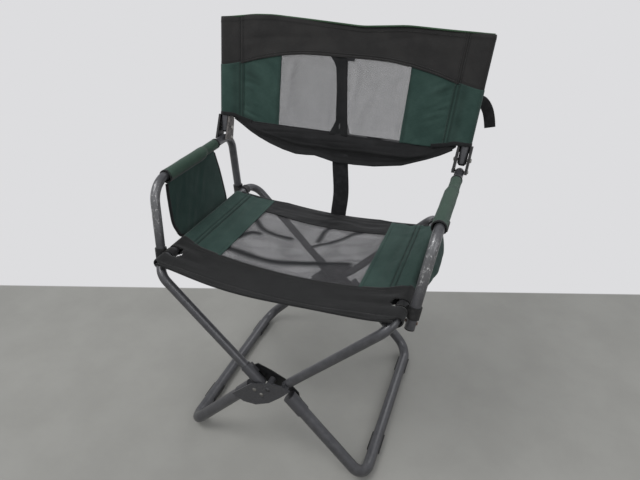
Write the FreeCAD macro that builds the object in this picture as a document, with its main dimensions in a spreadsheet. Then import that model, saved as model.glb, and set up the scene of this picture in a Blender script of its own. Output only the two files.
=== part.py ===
"""Folding director's chair: two crossed pairs of tube loops, fold-down back, slung fabric seat and back.

The chair faces -Y and stands on Z = 0. Its left side is at -X, as seen from the front.
Lengths are millimetres and angles degrees. Every size is a cell of the sheet, and each piece is bound to them.
"""

import FreeCAD, Part
import math
import os
import re

import Sketcher
from FreeCAD import Placement, Rotation, Vector

DOC = FreeCAD.newDocument("folding_chair")
SIZES = DOC.addObject("Spreadsheet::Sheet", "Sizes")
X_AXIS, Y_AXIS, Z_AXIS = Vector(1, 0, 0), Vector(0, 1, 0), Vector(0, 0, 1)
LEFT, RIGHT = -1, 1
FRONT, REAR = -1, 1
SIDES = ((LEFT, "left"), (RIGHT, "right"))
ENDS = ((FRONT, "front"), (REAR, "rear"))
HEAD_TAPER = 0.62  # a rivet head's flat top, as a share of its base

# name, value, what it is
DRIVING = [
    ("seat_tube_dia", 19, "tube of the seat loops, arms and back posts"),
    ("base_tube_dia", 25, "tube of the base loops"),
    ("tube_wall", 1.5, "wall of every tube"),
    ("seat_half_width", 243.6, "centre line of the chair to a seat rail"),
    ("seat_height", 452, "floor to the seat rails' centre lines"),
    ("base_half_width", 213, "centre line of the chair to a floor runner"),
    ("loop_half_depth", 215, "centre of the loops to their front and rear legs"),
    ("hub_height", 223, "floor to the fold axis"),
    ("leg_offset", 18.3, "fold axis to each leg's centre line"),
    ("seat_bend", 38, "bend radius of the seat loops"),
    ("base_bend", 40, "bend radius of the base loops"),
    ("depth_shift", 5, "moves the loops forward so that the whole chair is centred"),
    ("plate", 3, "thickness of the hub plates"),
    ("sleeve_wall", 2, "wall of the sockets that the legs end in"),
    ("socket_floor", 3, "thickness of a socket's closed end"),
    ("rivet_dia", 8, "shank of the hub rivets"),
    ("rivet_head", 14, "diameter of the hub rivets' heads"),
    ("plate_rivet_head", 9.4, "diameter of the small rivets on the outer hub plates"),
    ("spacer_wall", 3, "wall of the hub spacers"),
    ("head_height", 2.5, "height of a rivet head"),
    ("running_gap", 0.06, "radial clearance of a turning fit"),
    ("seat_gap", 0.1, "radial clearance of a fixed fit"),
    ("soft_gap", 0.4, "clearance between fabric and tube"),
    ("side_gap", 0.3, "clearance between flat faces that slide past each other"),
    ("overcut", 1, "how far a cutting tool runs past the face that it cuts"),
    ("upper_leg_end", 10, "fold axis to the end of the left upper leg, along it"),
    ("upper_sleeve_end", 62, "fold axis to the far end of the upper sockets"),
    ("stub_start", 30, "fold axis to the start of the right upper leg's stub"),
    ("stub_end", 72, "fold axis to the end of that stub, inside the leg"),
    ("stub_leg_start", 44, "fold axis to where the right upper leg slips over its stub"),
    ("lower_leg_end", 46, "fold axis to the end of the lower legs"),
    ("lower_sleeve_end", 88, "fold axis to the far end of the lower sockets"),
    ("saddle_length", 40, "block that joins a lower socket to the outer plate, along the leg"),
    ("saddle_width", 16, "the same block across the leg"),
    ("boss_width", 12, "square block that joins the stub to the outer plate"),
    ("upper_cleat", 44, "fold axis to the block between the inner plate and the upper socket"),
    ("lower_cleat", 58, "fold axis to the block between the inner plate and the lower socket"),
    ("cleat_length", 24, "either of those blocks along its leg"),
    ("cleat_width", 12, "either of those blocks across its leg"),
    ("pad_wall", 2.2, "wall of the foot pads"),
    ("pad_length", 48, "length of a foot pad along its runner"),
    ("pad_lip", 3, "how far a foot pad reaches up past its runner's centre line"),
    ("pad_inset", 36, "end of a runner's front bend to its front foot pad"),
    ("sole_width", 14, "flat width of a foot pad's sole"),
    ("arm_clear", 3.4, "seat rail to the side of the arm tube"),
    ("arm_lean", 6.5, "outward lean of the arms"),
    ("arm_height", 143.4, "seat rail to the armrest's centre line"),
    ("arm_front_top", 129.6, "loop centre to the corner of the armrest's front bend"),
    ("arm_front_foot", 167, "loop centre to the arm's front foot"),
    ("arm_foot_drop", 32, "how far the arm's front foot reaches below the rail"),
    ("arm_rear_top", 185, "loop centre to the arm's rear leg, at the top"),
    ("arm_rear_foot", 173, "loop centre to the arm's rear leg, at the rail"),
    ("arm_rear_drop", 14, "how far the arm's rear leg reaches below the rail"),
    ("arm_front_bend", 50, "bend radius of the armrest's front"),
    ("arm_rear_bend", 32, "bend radius of the armrest's rear"),
    ("knuckle_rear", 168, "loop centre to the rear knuckle"),
    ("knuckle_width", 15, "width of a knuckle along the rail"),
    ("knuckle_wall", 2.5, "wall of a knuckle round the rail and the arm"),
    ("knuckle_margin", 2, "how far a knuckle reaches above and below the rail"),
    ("arm_rivet_dia", 4, "shank of the arm rivets"),
    ("arm_rivet_head", 7.6, "diameter of the arm rivets' heads"),
    ("arm_rivet_height", 2, "height of the arm rivets' heads"),
    ("arm_rivet_room", 1.2, "radial room round the channel's rivets in the arm tube"),
    ("arm_rivet_reach", 3, "how far the channel's rivets reach inside its flanges"),
    ("arm_rivet_lift", 12, "arm's front foot up to its rivet"),
    ("pin_clear", 14, "armrest's top up to the back's hinge pin"),
    ("pin_rear", 169, "loop centre to the back's hinge pin"),
    ("pin_dia", 6, "back's hinge pin"),
    ("pin_head", 11, "head of the back's hinge pin"),
    ("recline", 14.4, "backward lean of the back"),
    ("post_flare", 2.9, "outward lean of each back post"),
    ("post_length", 243, "hinge pin to the top of a back post"),
    ("post_foot", 7.5, "hinge pin to the foot of a back post"),
    ("post_foot_height", 4.5, "height of the tapered foot that closes a back post"),
    ("channel_wall", 1.8, "web of the hinge channels"),
    ("channel_flange", 5, "thickness of their two flanges"),
    ("channel_gap", 1.2, "post to each flange of its channel"),
    ("channel_top", 30, "hinge pin to the top of its channel"),
    ("channel_drop", 31, "hinge pin to the bottom of its channel"),
    ("channel_web", 14, "hinge pin to the bottom edge of the channel's web"),
    ("channel_nose", 7, "hinge pin forward to a flange's front edge, at the top"),
    ("channel_toe", 24, "hinge pin forward to a flange's front edge, at the foot"),
    ("channel_toe_drop", 27, "hinge pin down to that front corner"),
    ("channel_heel", 6, "hinge pin back to a flange's rear edge, at the foot"),
    ("cloth", 2, "thickness of the fabric"),
    ("seat_sag", 29, "sag of the seat at its middle"),
    ("seat_front", 214, "loop centre to the seat's front edge"),
    ("seat_rear", 157, "loop centre to the seat's rear edge"),
    ("seat_side_rear", 138, "loop centre to the rear end of the seat's side strips"),
    ("front_band", 98, "width of the seat's front band"),
    ("rear_band", 63, "width of the seat's rear band"),
    ("seat_mesh_half", 154, "half width of the seat's mesh"),
    ("slit_length", 22, "slit in the seat's side where the front knuckle comes out"),
    ("slit_depth", 15, "how far that slit reaches in from the rail"),
    ("back_top", 257, "hinge pin to the back's top edge, along the back"),
    ("top_band_middle", 185, "hinge pin to the top band's lower seam, at the middle"),
    ("top_band_side", 142, "hinge pin to the top band's lower seam, at the sides"),
    ("low_band_seam", 19, "hinge pin to the lower band's upper seam"),
    ("back_mesh_corner", 178, "hinge pin to the top band's lower seam, at the mesh's corners"),
    ("low_band_side", 31, "hinge pin to the bottom edge of the back's sides"),
    ("low_band_half", 262, "half width of the lower band"),
    ("low_seam_half", 225, "half width of the lower band's upper seam"),
    ("top_seam_half", 60, "half of the level stretch of the top band's lower seam"),
    ("low_band_middle", 43, "hinge pin down to the lower band's lowest edge"),
    ("back_mesh_half", 150, "half width of the back's mesh"),
    ("centre_strip_half", 17, "half width of the strip between the back's two meshes"),
    ("strap_width", 38, "width of the webbing strap"),
    ("strap_offset", 16, "chair's middle to the middle of the strap"),
    ("strap_cloth", 1.8, "thickness of the webbing strap"),
    ("strap_rise", 6, "how far the strap stands up past the seat's rear edge"),
    ("strap_drop", 8, "how far the strap hangs down past the seat's top"),
    ("arm_sleeve_front", 90, "loop centre to the arm sleeve's front end"),
    ("arm_sleeve_rear", 112, "loop centre to the arm sleeve's rear end"),
    ("pouch_front", 100, "loop centre to the arm pouches' front edge"),
    ("pouch_rear", 102, "loop centre to the arm pouches' rear edge"),
    ("pouch_depth", 135, "height of an arm pouch"),
    ("pouch_thickness", 5, "thickness of an empty arm pouch"),
    ("plug_length", 6, "length of an end plug inside its tube"),
    ("plug_head", 2, "height of an end plug's head"),
]

# name, formula, what it is
DERIVED = [
    ("seat_tube", "seat_tube_dia / 2", "radius"),
    ("base_tube", "base_tube_dia / 2", "radius"),
    ("seat_bore", "seat_tube - tube_wall", "radius of the seat tube's bore"),
    ("base_bore", "base_tube - tube_wall", "radius of the base tube's bore"),
    ("runner_height", "base_tube + seat_gap + pad_wall", "floor to the runners' centre lines"),
    ("seat_rise", "seat_height - hub_height", "fold axis up to the seat rails"),
    ("base_drop", "hub_height - runner_height", "fold axis down to the runners"),
    ("seat_reach", "sqrt(seat_half_width ^ 2 + seat_rise ^ 2)", "fold axis to a seat rail"),
    ("base_reach", "sqrt(base_half_width ^ 2 + base_drop ^ 2)", "fold axis to a runner"),
    ("seat_climb", "atan2(seat_rise; seat_half_width) / 1 deg", "fold axis to a seat rail, from level"),
    ("base_fall", "atan2(base_drop; base_half_width) / 1 deg", "fold axis to a runner, from level"),
    ("upper_angle", "seat_climb + asin(leg_offset / seat_reach) / 1 deg", "upper legs, from level"),
    ("lower_angle", "base_fall + asin(leg_offset / base_reach) / 1 deg", "lower legs, from level"),
    ("upper_leg", "sqrt(seat_reach ^ 2 - leg_offset ^ 2)", "fold axis to a seat rail, along the leg"),
    ("lower_leg", "sqrt(base_reach ^ 2 - leg_offset ^ 2)", "fold axis to a runner, along the leg"),
    ("upper_sleeve", "seat_tube + sleeve_wall", "outer radius"),
    ("lower_sleeve", "base_tube + sleeve_wall", "outer radius"),
    ("stub", "seat_bore - seat_gap", "radius of the stub inside the right upper leg"),
    ("plate_gap", "lower_sleeve + side_gap", "leg plane to the inner face of either hub plate"),
    ("pivot_hole", "rivet_dia / 2 + running_gap", "radius"),
    ("fixed_hole", "rivet_dia / 2 + seat_gap", "radius"),
    ("knuckle_ring", "seat_tube + knuckle_wall", "outer radius"),
    ("arm_gap", "seat_tube_dia + arm_clear", "seat rail to the arm tube's plane"),
    ("arm_rise", "arm_height * cos(arm_lean) - arm_gap * sin(arm_lean)", "seat rail up to an armrest"),
    ("arm_spread", "arm_gap * cos(arm_lean) + arm_height * sin(arm_lean)", "seat rail out to an armrest"),
    ("armrest_x", "seat_half_width + arm_spread", "to an armrest"),
    ("armrest_z", "seat_height + arm_rise", "to an armrest"),
    ("arm_front_run", "(arm_front_foot - arm_front_top) / (arm_foot_drop + arm_height)", "slope's tangent"),
    ("arm_front_slope", "atan(arm_front_run) / 1 deg", "front leg of an arm"),
    ("arm_rear_run", "(arm_rear_top - arm_rear_foot) / (arm_rear_drop + arm_height)", "slope's tangent"),
    ("arm_rear_slope", "atan(arm_rear_run) / 1 deg", "rear leg of an arm"),
    ("arm_rear_at_rail", "arm_rear_foot + arm_rear_drop * arm_rear_run", "loop centre to the leg at the rail"),
    ("knuckle_front", "arm_front_foot - arm_foot_drop * arm_front_run", "loop centre to the front knuckle"),
    ("pin_height", "seat_tube + pin_clear", "armrest's centre line up to the back's hinge pin"),
    ("pin_x", "armrest_x + pin_height * tan(post_flare)", "to a hinge pin's middle"),
    ("pin_z", "armrest_z + pin_height", "floor to the back's hinge pins"),
    ("web_face", "seat_tube + side_gap", "post's centre line to the channel's web"),
    ("channel_half", "seat_tube + channel_gap", "post's centre line to the inner face of a flange"),
    ("channel_out", "channel_half + channel_flange", "post's centre line to the outer face of a flange"),
    ("channel_back", "web_face + channel_wall", "hinge pin back to the channel's rear face"),
    ("channel_rivet_drop", "pin_height / cos(recline)", "hinge pin down to the rivets in the flanges"),
    ("cap_top", "post_length + side_gap + plug_head", "hinge pin to the top of a post's cap"),
    ("sleeve_bore", "seat_tube + soft_gap", "radius inside a fabric sleeve"),
    ("fabric_sleeve", "sleeve_bore + cloth", "radius outside a fabric sleeve"),
    ("seat_top", "seat_height + fabric_sleeve", "floor to the top of the seat's fabric at the rails"),
    ("seat_middle", "seat_top - seat_sag", "floor to the top of the seat's fabric at its middle"),
    ("band_rear", "front_band - seat_front", "Y of the front band's rear seam"),
    ("mesh_rear", "seat_rear - rear_band", "Y of the seat mesh's rear seam"),
]
ALIASES = {name for name, *_ in DRIVING} | {name for name, *_ in DERIVED}


def formula(text):
    """Puts the sheet's name in front of each of its names."""
    return re.sub(r"[a-z_]\w*", lambda word: ("Sizes." if word[0] in ALIASES else "") + word[0], str(text))


def value(text):
    """What a formula comes to, as a plain number."""
    result = SIZES.evalExpression(formula(text))
    return float(getattr(result, "Value", result))


def fill_sheet():
    """Writes the driving sizes as numbers, then those worked out from them as formulas."""
    for row, (name, content, note) in enumerate(DRIVING + DERIVED, start=1):
        SIZES.set(f"A{row}", name)
        SIZES.set(f"B{row}", str(content) if isinstance(content, (int, float)) else f"={content}")
        SIZES.set(f"C{row}", note)
        SIZES.setAlias(f"B{row}", name)
    DOC.recompute()


def bind(piece, **sizes):
    """Ties a piece's properties to formulas of the sheet's names."""
    for prop, text in sizes.items():
        piece.setExpression(prop, formula(text))
    return piece


def put(piece, x="0", y="0", z="0", axis=Y_AXIS, turn="0"):
    """Turns a piece about an axis through its own origin, then carries that origin to x, y, z."""
    piece.Placement = Placement(Vector(), Rotation(axis, 1))
    for prop, text in (("Base.x", x), ("Base.y", y), ("Base.z", z), ("Rotation.Angle", turn)):
        piece.setExpression("Placement." + prop, formula(text))
    return piece


def rod(radius, length, **place):
    """A cylinder; its axis starts along +Z."""
    return put(bind(DOC.addObject("Part::Cylinder", "rod"), Radius=radius, Height=length), **place)


def block(width, depth, height, **place):
    """A box measured from its lowest corner."""
    return put(bind(DOC.addObject("Part::Box", "block"), Length=width, Width=depth, Height=height), **place)


def dome(radius, height, **place):
    """A rivet head: a short cone, wide at its base."""
    top = f"({radius}) * {HEAD_TAPER}"
    head = bind(DOC.addObject("Part::Cone", "head"), Radius1=radius, Radius2=top, Height=height)
    return put(head, **place)


def join(*pieces):
    """One solid from several that overlap."""
    whole = DOC.addObject("Part::MultiFuse", "whole")
    whole.Shapes = list(pieces)
    whole.Refine = True
    return whole


def cut(base, *tools):
    """A solid with others taken out of it."""
    for tool in tools:
        rest = DOC.addObject("Part::Cut", "rest")
        rest.Base, rest.Tool, rest.Refine = base, tool, True
        base = rest
    return base


def group(*pieces):
    """Separate solids that share one node."""
    together = DOC.addObject("Part::Compound", "together")
    together.Links = list(pieces)
    return together


NODES = []


def node(label, piece, **place):
    """Names a finished piece and carries it into the chair's frame."""
    piece.Label = label
    place["y"] = f"{place.get('y', '0')} - depth_shift"
    put(piece, **place)
    NODES.append(piece)
    return piece


def plane_of(body, role):
    return next(feature for feature in body.Origin.OriginFeatures if feature.Role == role)


def sketch_on(body, role, name, offset="0"):
    """A sketch on one of the body's own origin planes, lifted off it by an offset."""
    sketch = body.newObject("Sketcher::SketchObject", name)
    sketch.AttachmentSupport = [(plane_of(body, role), "")]
    sketch.MapMode = "FlatFace"
    sketch.setExpression("AttachmentOffset.Base.z", formula(offset))
    return sketch


def pin_point(sketch, geometry, end, x, y):
    """Holds one point of a sketch at formulas for x and y."""
    for kind, text in (("DistanceX", x), ("DistanceY", y)):
        index = sketch.addConstraint(Sketcher.Constraint(kind, geometry, end, value(text)))
        sketch.setExpression(f"Constraints[{index}]", formula(text))


def draw_ring(sketch, x, y, outer, bore):
    """Two circles about one centre."""
    for radius in (outer, bore):
        centre = Vector(value(x), value(y), 0)
        circle = sketch.addGeometry(Part.Circle(centre, Z_AXIS, value(radius)))
        pin_point(sketch, circle, 3, x, y)
        index = sketch.addConstraint(Sketcher.Constraint("Radius", circle, value(radius)))
        sketch.setExpression(f"Constraints[{index}]", formula(radius))


def draw_outline(sketch, points):
    """A closed outline of straight edges through points given as formulas."""
    at = [Vector(value(x), value(y), 0) for x, y in points]
    count = len(points)
    edges = [sketch.addGeometry(Part.LineSegment(at[i], at[(i + 1) % count])) for i in range(count)]
    for i, edge in enumerate(edges):
        sketch.addConstraint(Sketcher.Constraint("Coincident", edge, 2, edges[(i + 1) % count], 1))
        pin_point(sketch, edge, 1, *points[i])


def draw_route(sketch, points, radii):
    """Straight runs through points given as formulas, with a tangent arc at each inner point."""
    at = [Vector(value(x), value(y), 0) for x, y in points]
    trims = [0.0]
    for before, here, after, radius in zip(at, at[1:], at[2:], radii):
        trims.append(value(radius) * math.tan((here - before).getAngle(after - here) / 2))
    trims.append(0.0)
    lines, arcs = [], []
    for i, (start, end) in enumerate(zip(at, at[1:])):
        way = (end - start).normalize()
        lines.append(sketch.addGeometry(Part.LineSegment(start + way * trims[i], end - way * trims[i + 1])))
    for i, radius in enumerate(radii):
        here, into = at[i + 1], (at[i + 1] - at[i]).normalize()
        out = (at[i + 2] - at[i + 1]).normalize()
        first, last = here - into * trims[i + 1], here + out * trims[i + 1]
        inward = (out - into).normalize()
        half_turn = into.getAngle(out) / 2
        middle = here + inward * value(radius) * (1 / math.cos(half_turn) - 1)
        arcs.append(sketch.addGeometry(Part.Arc(first, middle, last)))
    for i, (arc, radius) in enumerate(zip(arcs, radii)):
        turns_left = (at[i + 1] - at[i]).cross(at[i + 2] - at[i + 1]).z > 0
        start, end = (1, 2) if turns_left else (2, 1)
        sketch.addConstraint(Sketcher.Constraint("Tangent", lines[i], 2, arc, start))
        sketch.addConstraint(Sketcher.Constraint("Tangent", arc, end, lines[i + 1], 1))
        index = sketch.addConstraint(Sketcher.Constraint("Radius", arc, value(radius)))
        sketch.setExpression(f"Constraints[{index}]", formula(radius))
        corner = sketch.addGeometry(Part.Point(at[i + 1]), True)
        pin_point(sketch, corner, 1, *points[i + 1])
        sketch.addConstraint(Sketcher.Constraint("PointOnObject", corner, 1, lines[i]))
        sketch.addConstraint(Sketcher.Constraint("PointOnObject", corner, 1, lines[i + 1]))
    pin_point(sketch, lines[0], 1, *points[0])
    pin_point(sketch, lines[-1], 2, *points[-1])


def pad(body, sketch, length, midplane=False):
    """Pads a closed sketch and returns the body."""
    feature = body.newObject("PartDesign::Pad", "pad")
    feature.Profile = sketch
    feature.Midplane = midplane
    bind(feature, Length=length)
    sketch.Visibility = False
    return body


def slab(outline, thickness, role="XY_Plane", midplane=False):
    """A flat plate of one outline."""
    body = DOC.addObject("PartDesign::Body", "slab")
    sketch = sketch_on(body, role, "outline")
    draw_outline(sketch, outline)
    return pad(body, sketch, thickness, midplane)


def along_y(radius, front, rear, x="0", z="0"):
    """A cylinder along Y, between two Y values."""
    return rod(radius, f"({rear}) - ({front})", x=x, y=front, z=z, axis=X_AXIS, turn="-90")


def bent_tube(route, radii, role, profile_role, centre, offset, outer, bore):
    """A tube along a flat route; its section sits at the route's start."""
    body = DOC.addObject("PartDesign::Body", "tube")
    path = sketch_on(body, role, "route")
    draw_route(path, route, radii)
    section = sketch_on(body, profile_role, "section", offset)
    draw_ring(section, *centre, outer, bore)
    DOC.recompute()
    pipe = body.newObject("PartDesign::AdditivePipe", "pipe")
    pipe.Profile = section
    pipe.Spine = path
    return body


# ---------------------------------------------------------------- the crossed loops

# Each leg runs outward from the hub at its own angle and passes the fold axis at leg_offset, on one side of it
# name: (angle, side of the axis that the leg passes on, start of its tube)
LEGS = {
    "seat_loop_left": ("180 - upper_angle", 1, "upper_leg_end"),
    "seat_loop_right": ("upper_angle", -1, "stub_leg_start"),
    "base_loop_left": ("180 + lower_angle", -1, "lower_leg_end"),
    "base_loop_right": ("-lower_angle", 1, "lower_leg_end"),
}
# kind of loop: (length of its legs, tube, bore, bend)
TUBES = {
    "seat": ("upper_leg", "seat_tube", "seat_bore", "seat_bend"),
    "base": ("lower_leg", "base_tube", "base_bore", "base_bend"),
}


def on_leg(leg, along, outward="0"):
    """X and Z of a point on a leg: along it from the fold axis, and outward from its centre line."""
    angle, side = LEGS[leg][:2]
    off = f"({side} * (leg_offset + ({outward})))"
    x = f"({along}) * cos({angle}) - {off} * sin({angle})"
    z = f"hub_height + ({along}) * sin({angle}) + {off} * cos({angle})"
    return x, z


def leg_rod(leg, radius, start, end, y):
    """A cylinder on a leg's centre line, from start to end."""
    x, z = on_leg(leg, start)
    return rod(radius, f"({end}) - ({start})", x=x, y=y, z=z, turn=f"90 - ({LEGS[leg][0]})")


def loops():
    """Each loop is two legs and the seat rail or floor runner that joins their far ends."""
    for name, (angle, side, start) in LEGS.items():
        length, tube, bore, bend = TUBES[name.split("_")[0]]
        route = [
            (start, "loop_half_depth"),
            (length, "loop_half_depth"),
            (length, "-loop_half_depth"),
            (start, "-loop_half_depth"),
        ]
        first = ("loop_half_depth", "0")
        body = bent_tube(route, [bend, bend], "XY_Plane", "YZ_Plane", first, start, tube, bore)
        x = f"-{side} * leg_offset * sin({angle})"
        z = f"hub_height + {side} * leg_offset * cos({angle})"
        node(name, body, x=x, z=z, turn=f"-({angle})")


def leg_corner(leg, along, outward):
    """A corner of a hub plate, about the fold axis."""
    x, z = on_leg(leg, along, outward)
    return x, f"{z} - hub_height"


def leg_block(leg, along, length, width, y):
    """A block that reaches from a leg's plane to a hub plate; y is its front face."""
    x, z = on_leg(leg, along)
    far, near, up, down = f"({length}) / 2", f"-({length}) / 2", f"({width}) / 2", f"-({width}) / 2"
    plate = slab([(near, down), (far, down), (far, up), (near, up)], "plate_gap", "XZ_Plane")
    return put(plate, x=x, y=f"{y} + plate_gap", z=z, turn=f"-({LEGS[leg][0]})")


# The hub plates' corners in order: a leg, how far along it from the fold axis, and how far out from its middle
OUTER_PLATE = [
    ("base_loop_left", "lower_sleeve_end", "lower_sleeve"),
    ("base_loop_left", "lower_sleeve_end - 8", "-lower_sleeve"),
    ("base_loop_left", "lower_leg_end + 14", "-lower_sleeve - 20"),
    ("base_loop_left", "26", "-lower_sleeve - 32"),
    ("seat_loop_right", "12", "stub + 4"),
    ("seat_loop_right", "stub_leg_start + 1", "stub + 2"),
    ("seat_loop_right", "stub_leg_start - 5", "2 - stub"),
    ("seat_loop_right", "stub_start - 3", "-stub - 12"),
    ("seat_loop_right", "14", "-stub - 20"),
    ("base_loop_left", "22", "lower_sleeve - 4"),
]
INNER_PLATE = [
    ("seat_loop_left", "upper_sleeve_end - 14", "3"),
    ("seat_loop_left", "upper_sleeve_end - 16", "-upper_sleeve - 2"),
    ("seat_loop_left", "18", "-upper_sleeve - 18"),
    ("base_loop_right", "14", "7"),
    ("base_loop_right", "lower_leg_end + 8", "lower_sleeve - 5"),
    ("base_loop_right", "lower_leg_end + 26", "-3"),
    ("base_loop_right", "lower_leg_end - 2", "-lower_sleeve"),
    ("base_loop_right", "16", "-lower_sleeve - 14"),
    ("seat_loop_left", "8", "upper_sleeve - 6"),
]
# the small rivets at the outer plate's lower leg
PLATE_RIVETS = [("base_loop_left", "27", "-4"), ("base_loop_left", "23", "-22")]


def hub_plate(corners, y):
    """A plate about the fold axis; y is its front face."""
    plate = slab([leg_corner(*corner) for corner in corners], "plate", "XZ_Plane")
    return put(plate, y=f"{y} + plate", z="hub_height")


def outer_bracket(end, y):
    """The plate that shows, with a socket for the left lower leg and a stub for the right upper leg."""
    plate = hub_plate(OUTER_PLATE, f"{y} + {end} * (plate_gap + plate / 2) - plate / 2")
    inside = f"{y} + ({end} - 1) * plate_gap / 2"
    middle = "(lower_leg_end + lower_sleeve_end) / 2"
    socket = leg_rod("base_loop_left", "lower_sleeve", "lower_leg_end - socket_floor", "lower_sleeve_end", y)
    saddle = leg_block("base_loop_left", middle, "saddle_length", "saddle_width", inside)
    stub = leg_rod("seat_loop_right", "stub", "stub_start", "stub_end", y)
    boss = leg_block("seat_loop_right", "stub_start + boss_width / 2", "boss_width", "boss_width", inside)
    bore = leg_rod("base_loop_left", "base_tube + seat_gap", "lower_leg_end", "lower_sleeve_end + overcut", y)
    hole = along_y("fixed_hole", f"{y} - 2 * plate_gap", f"{y} + 2 * plate_gap", z="hub_height")
    return cut(join(plate, socket, saddle, stub, boss), bore, hole)


def inner_bracket(end, y):
    """The plate behind it, with sockets for the left upper and right lower legs."""
    plate = hub_plate(INNER_PLATE, f"{y} - {end} * (plate_gap + plate / 2) - plate / 2")
    inside = f"{y} - ({end} + 1) * plate_gap / 2"
    solids, bores = [plate], []
    for leg, tube, sleeve, start, far, cleat in (
        ("seat_loop_left", "seat_tube", "upper_sleeve", "upper_leg_end", "upper_sleeve_end", "upper_cleat"),
        ("base_loop_right", "base_tube", "lower_sleeve", "lower_leg_end", "lower_sleeve_end", "lower_cleat"),
    ):
        solids.append(leg_rod(leg, sleeve, f"{start} - socket_floor", far, y))
        solids.append(leg_block(leg, cleat, "cleat_length", "cleat_width", inside))
        bores.append(leg_rod(leg, f"{tube} + seat_gap", start, f"{far} + overcut", y))
    hole = along_y("pivot_hole", f"{y} - 2 * plate_gap", f"{y} + 2 * plate_gap", z="hub_height")
    return cut(join(*solids), *bores, hole)


def hub_rivet(end, y):
    """From the outer plate's face, through the spacer, to behind the inner plate."""
    near, far = f"{y} + {end} * (plate_gap + plate)", f"{y} - {end} * (plate_gap + plate + side_gap)"
    outward, inward = f"{end} * -90", f"{end} * 90"
    length = "2 * plate_gap + 2 * plate + side_gap"
    shank = rod("rivet_dia / 2", length, y=far, z="hub_height", axis=X_AXIS, turn=outward)
    head = dome("rivet_head / 2", "head_height", y=near, z="hub_height", axis=X_AXIS, turn=outward)
    tail = dome("rivet_head / 2", "head_height", y=far, z="hub_height", axis=X_AXIS, turn=inward)
    return join(shank, head, tail)


def hub_spacer(end, y):
    """A tube on the rivet, between the two plates."""
    start = f"{y} - plate_gap + ({end} + 1) / 2 * side_gap"
    stop = f"{y} + plate_gap + ({end} - 1) / 2 * side_gap"
    tube = along_y("rivet_dia / 2 + spacer_wall", start, stop, z="hub_height")
    return cut(tube, along_y("fixed_hole", f"{start} - overcut", f"{stop} + overcut", z="hub_height"))


def plate_rivets(end, y):
    """Small rivet heads on the outer plate."""
    heads = []
    for corner in PLATE_RIVETS:
        x, z = on_leg(*corner)
        face = f"{y} + {end} * (plate_gap + plate)"
        heads.append(dome(
            "plate_rivet_head / 2", "arm_rivet_height", x=x, y=face, z=z, axis=X_AXIS, turn=f"{end} * -90",
        ))
    return group(*heads)


def hubs():
    """At the front and at the rear: the outer bracket carries the left lower and right upper legs, and the
    inner bracket carries the left upper and right lower legs. One rivet joins the two."""
    for end, word in ENDS:
        y = f"{end} * loop_half_depth"
        node(f"hub_outer_bracket_{word}", outer_bracket(end, y))
        node(f"hub_inner_bracket_{word}", inner_bracket(end, y))
        node(f"hub_rivet_{word}", hub_rivet(end, y))
        node(f"hub_spacer_{word}", hub_spacer(end, y))
        node(f"hub_plate_rivets_{word}", plate_rivets(end, y))


def foot_pads():
    """A cradle under each runner near each bend, the front ones set further in."""
    for side, side_word in SIDES:
        for end, end_word in ENDS:
            x = f"{side} * base_half_width"
            inset = "pad_inset" if end == FRONT else "0"
            front = f"{end} * (loop_half_depth - base_bend - {inset} - pad_length / 2) - pad_length / 2"
            rear = f"{front} + pad_length"
            shell = along_y("runner_height", front, rear, x, "runner_height")
            sole = block("sole_width", "pad_length", "pad_wall * 2", x=f"{x} - sole_width / 2", y=front)
            bore = along_y(
                "base_tube + seat_gap", f"{front} - overcut", f"{rear} + overcut", x, "runner_height",
            )
            mouth = block(
                "4 * base_tube", "pad_length + 2 * overcut", "2 * base_tube",
                x=f"{x} - 2 * base_tube", y=f"{front} - overcut", z="runner_height + pad_lip",
            )
            node(f"foot_pad_{end_word}_{side_word}", cut(join(shell, sole), bore, mouth))


# ---------------------------------------------------------------- arms and back hinges


def drill(body, role, x, y, radius):
    """A hole straight through a body, square to one of its planes."""
    sketch = sketch_on(body, role, "hole")
    circle = sketch.addGeometry(Part.Circle(Vector(value(x), value(y), 0), Z_AXIS, value(radius)))
    pin_point(sketch, circle, 3, x, y)
    index = sketch.addConstraint(Sketcher.Constraint("Radius", circle, value(radius)))
    sketch.setExpression(f"Constraints[{index}]", formula(radius))
    pocket = body.newObject("PartDesign::Pocket", "hole")
    pocket.Profile = sketch
    pocket.Midplane = True
    bind(pocket, Length="8 * (arm_gap + seat_tube)")


# Y and Z, in the arm's frame, of the rivet through its front foot
FOOT_RIVET = ("arm_rivet_lift * arm_front_run - arm_front_foot", "arm_rivet_lift - arm_foot_drop")


def arm_tube(side):
    """The arm in its own frame: the origin is on the seat rail, and +Z runs up the arm's plane."""
    plane = f"{side} * arm_gap"
    route = [
        ("arm_rear_foot", "-arm_rear_drop"),
        ("arm_rear_top", "arm_height"),
        ("-arm_front_top", "arm_height"),
        ("-arm_front_foot", "-arm_foot_drop"),
    ]
    tube = DOC.addObject("PartDesign::Body", "arm")
    path = sketch_on(tube, "YZ_Plane", "route", plane)
    draw_route(path, route, ["arm_rear_bend", "arm_front_bend"])
    section = sketch_on(tube, "XY_Plane", "section", "-arm_rear_drop")
    section.AttachmentOffset = Placement(Vector(), Rotation(X_AXIS, 1))
    section.setExpression("AttachmentOffset.Base.y", formula("arm_rear_foot"))
    section.setExpression("AttachmentOffset.Rotation.Angle", formula("-arm_rear_slope"))
    draw_ring(section, plane, "0", "seat_tube", "seat_bore")
    DOC.recompute()
    pipe = tube.newObject("PartDesign::AdditivePipe", "pipe")
    pipe.Profile = section
    pipe.Spine = path
    drill(tube, "YZ_Plane", *FOOT_RIVET, "arm_rivet_dia / 2 + seat_gap")
    channel_y = "pin_rear - channel_rivet_drop * sin(recline)"
    channel_z = "arm_height + pin_height - channel_rivet_drop * cos(recline)"
    drill(tube, "YZ_Plane", channel_y, channel_z, "arm_rivet_dia / 2 + arm_rivet_room")
    return tube


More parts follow.
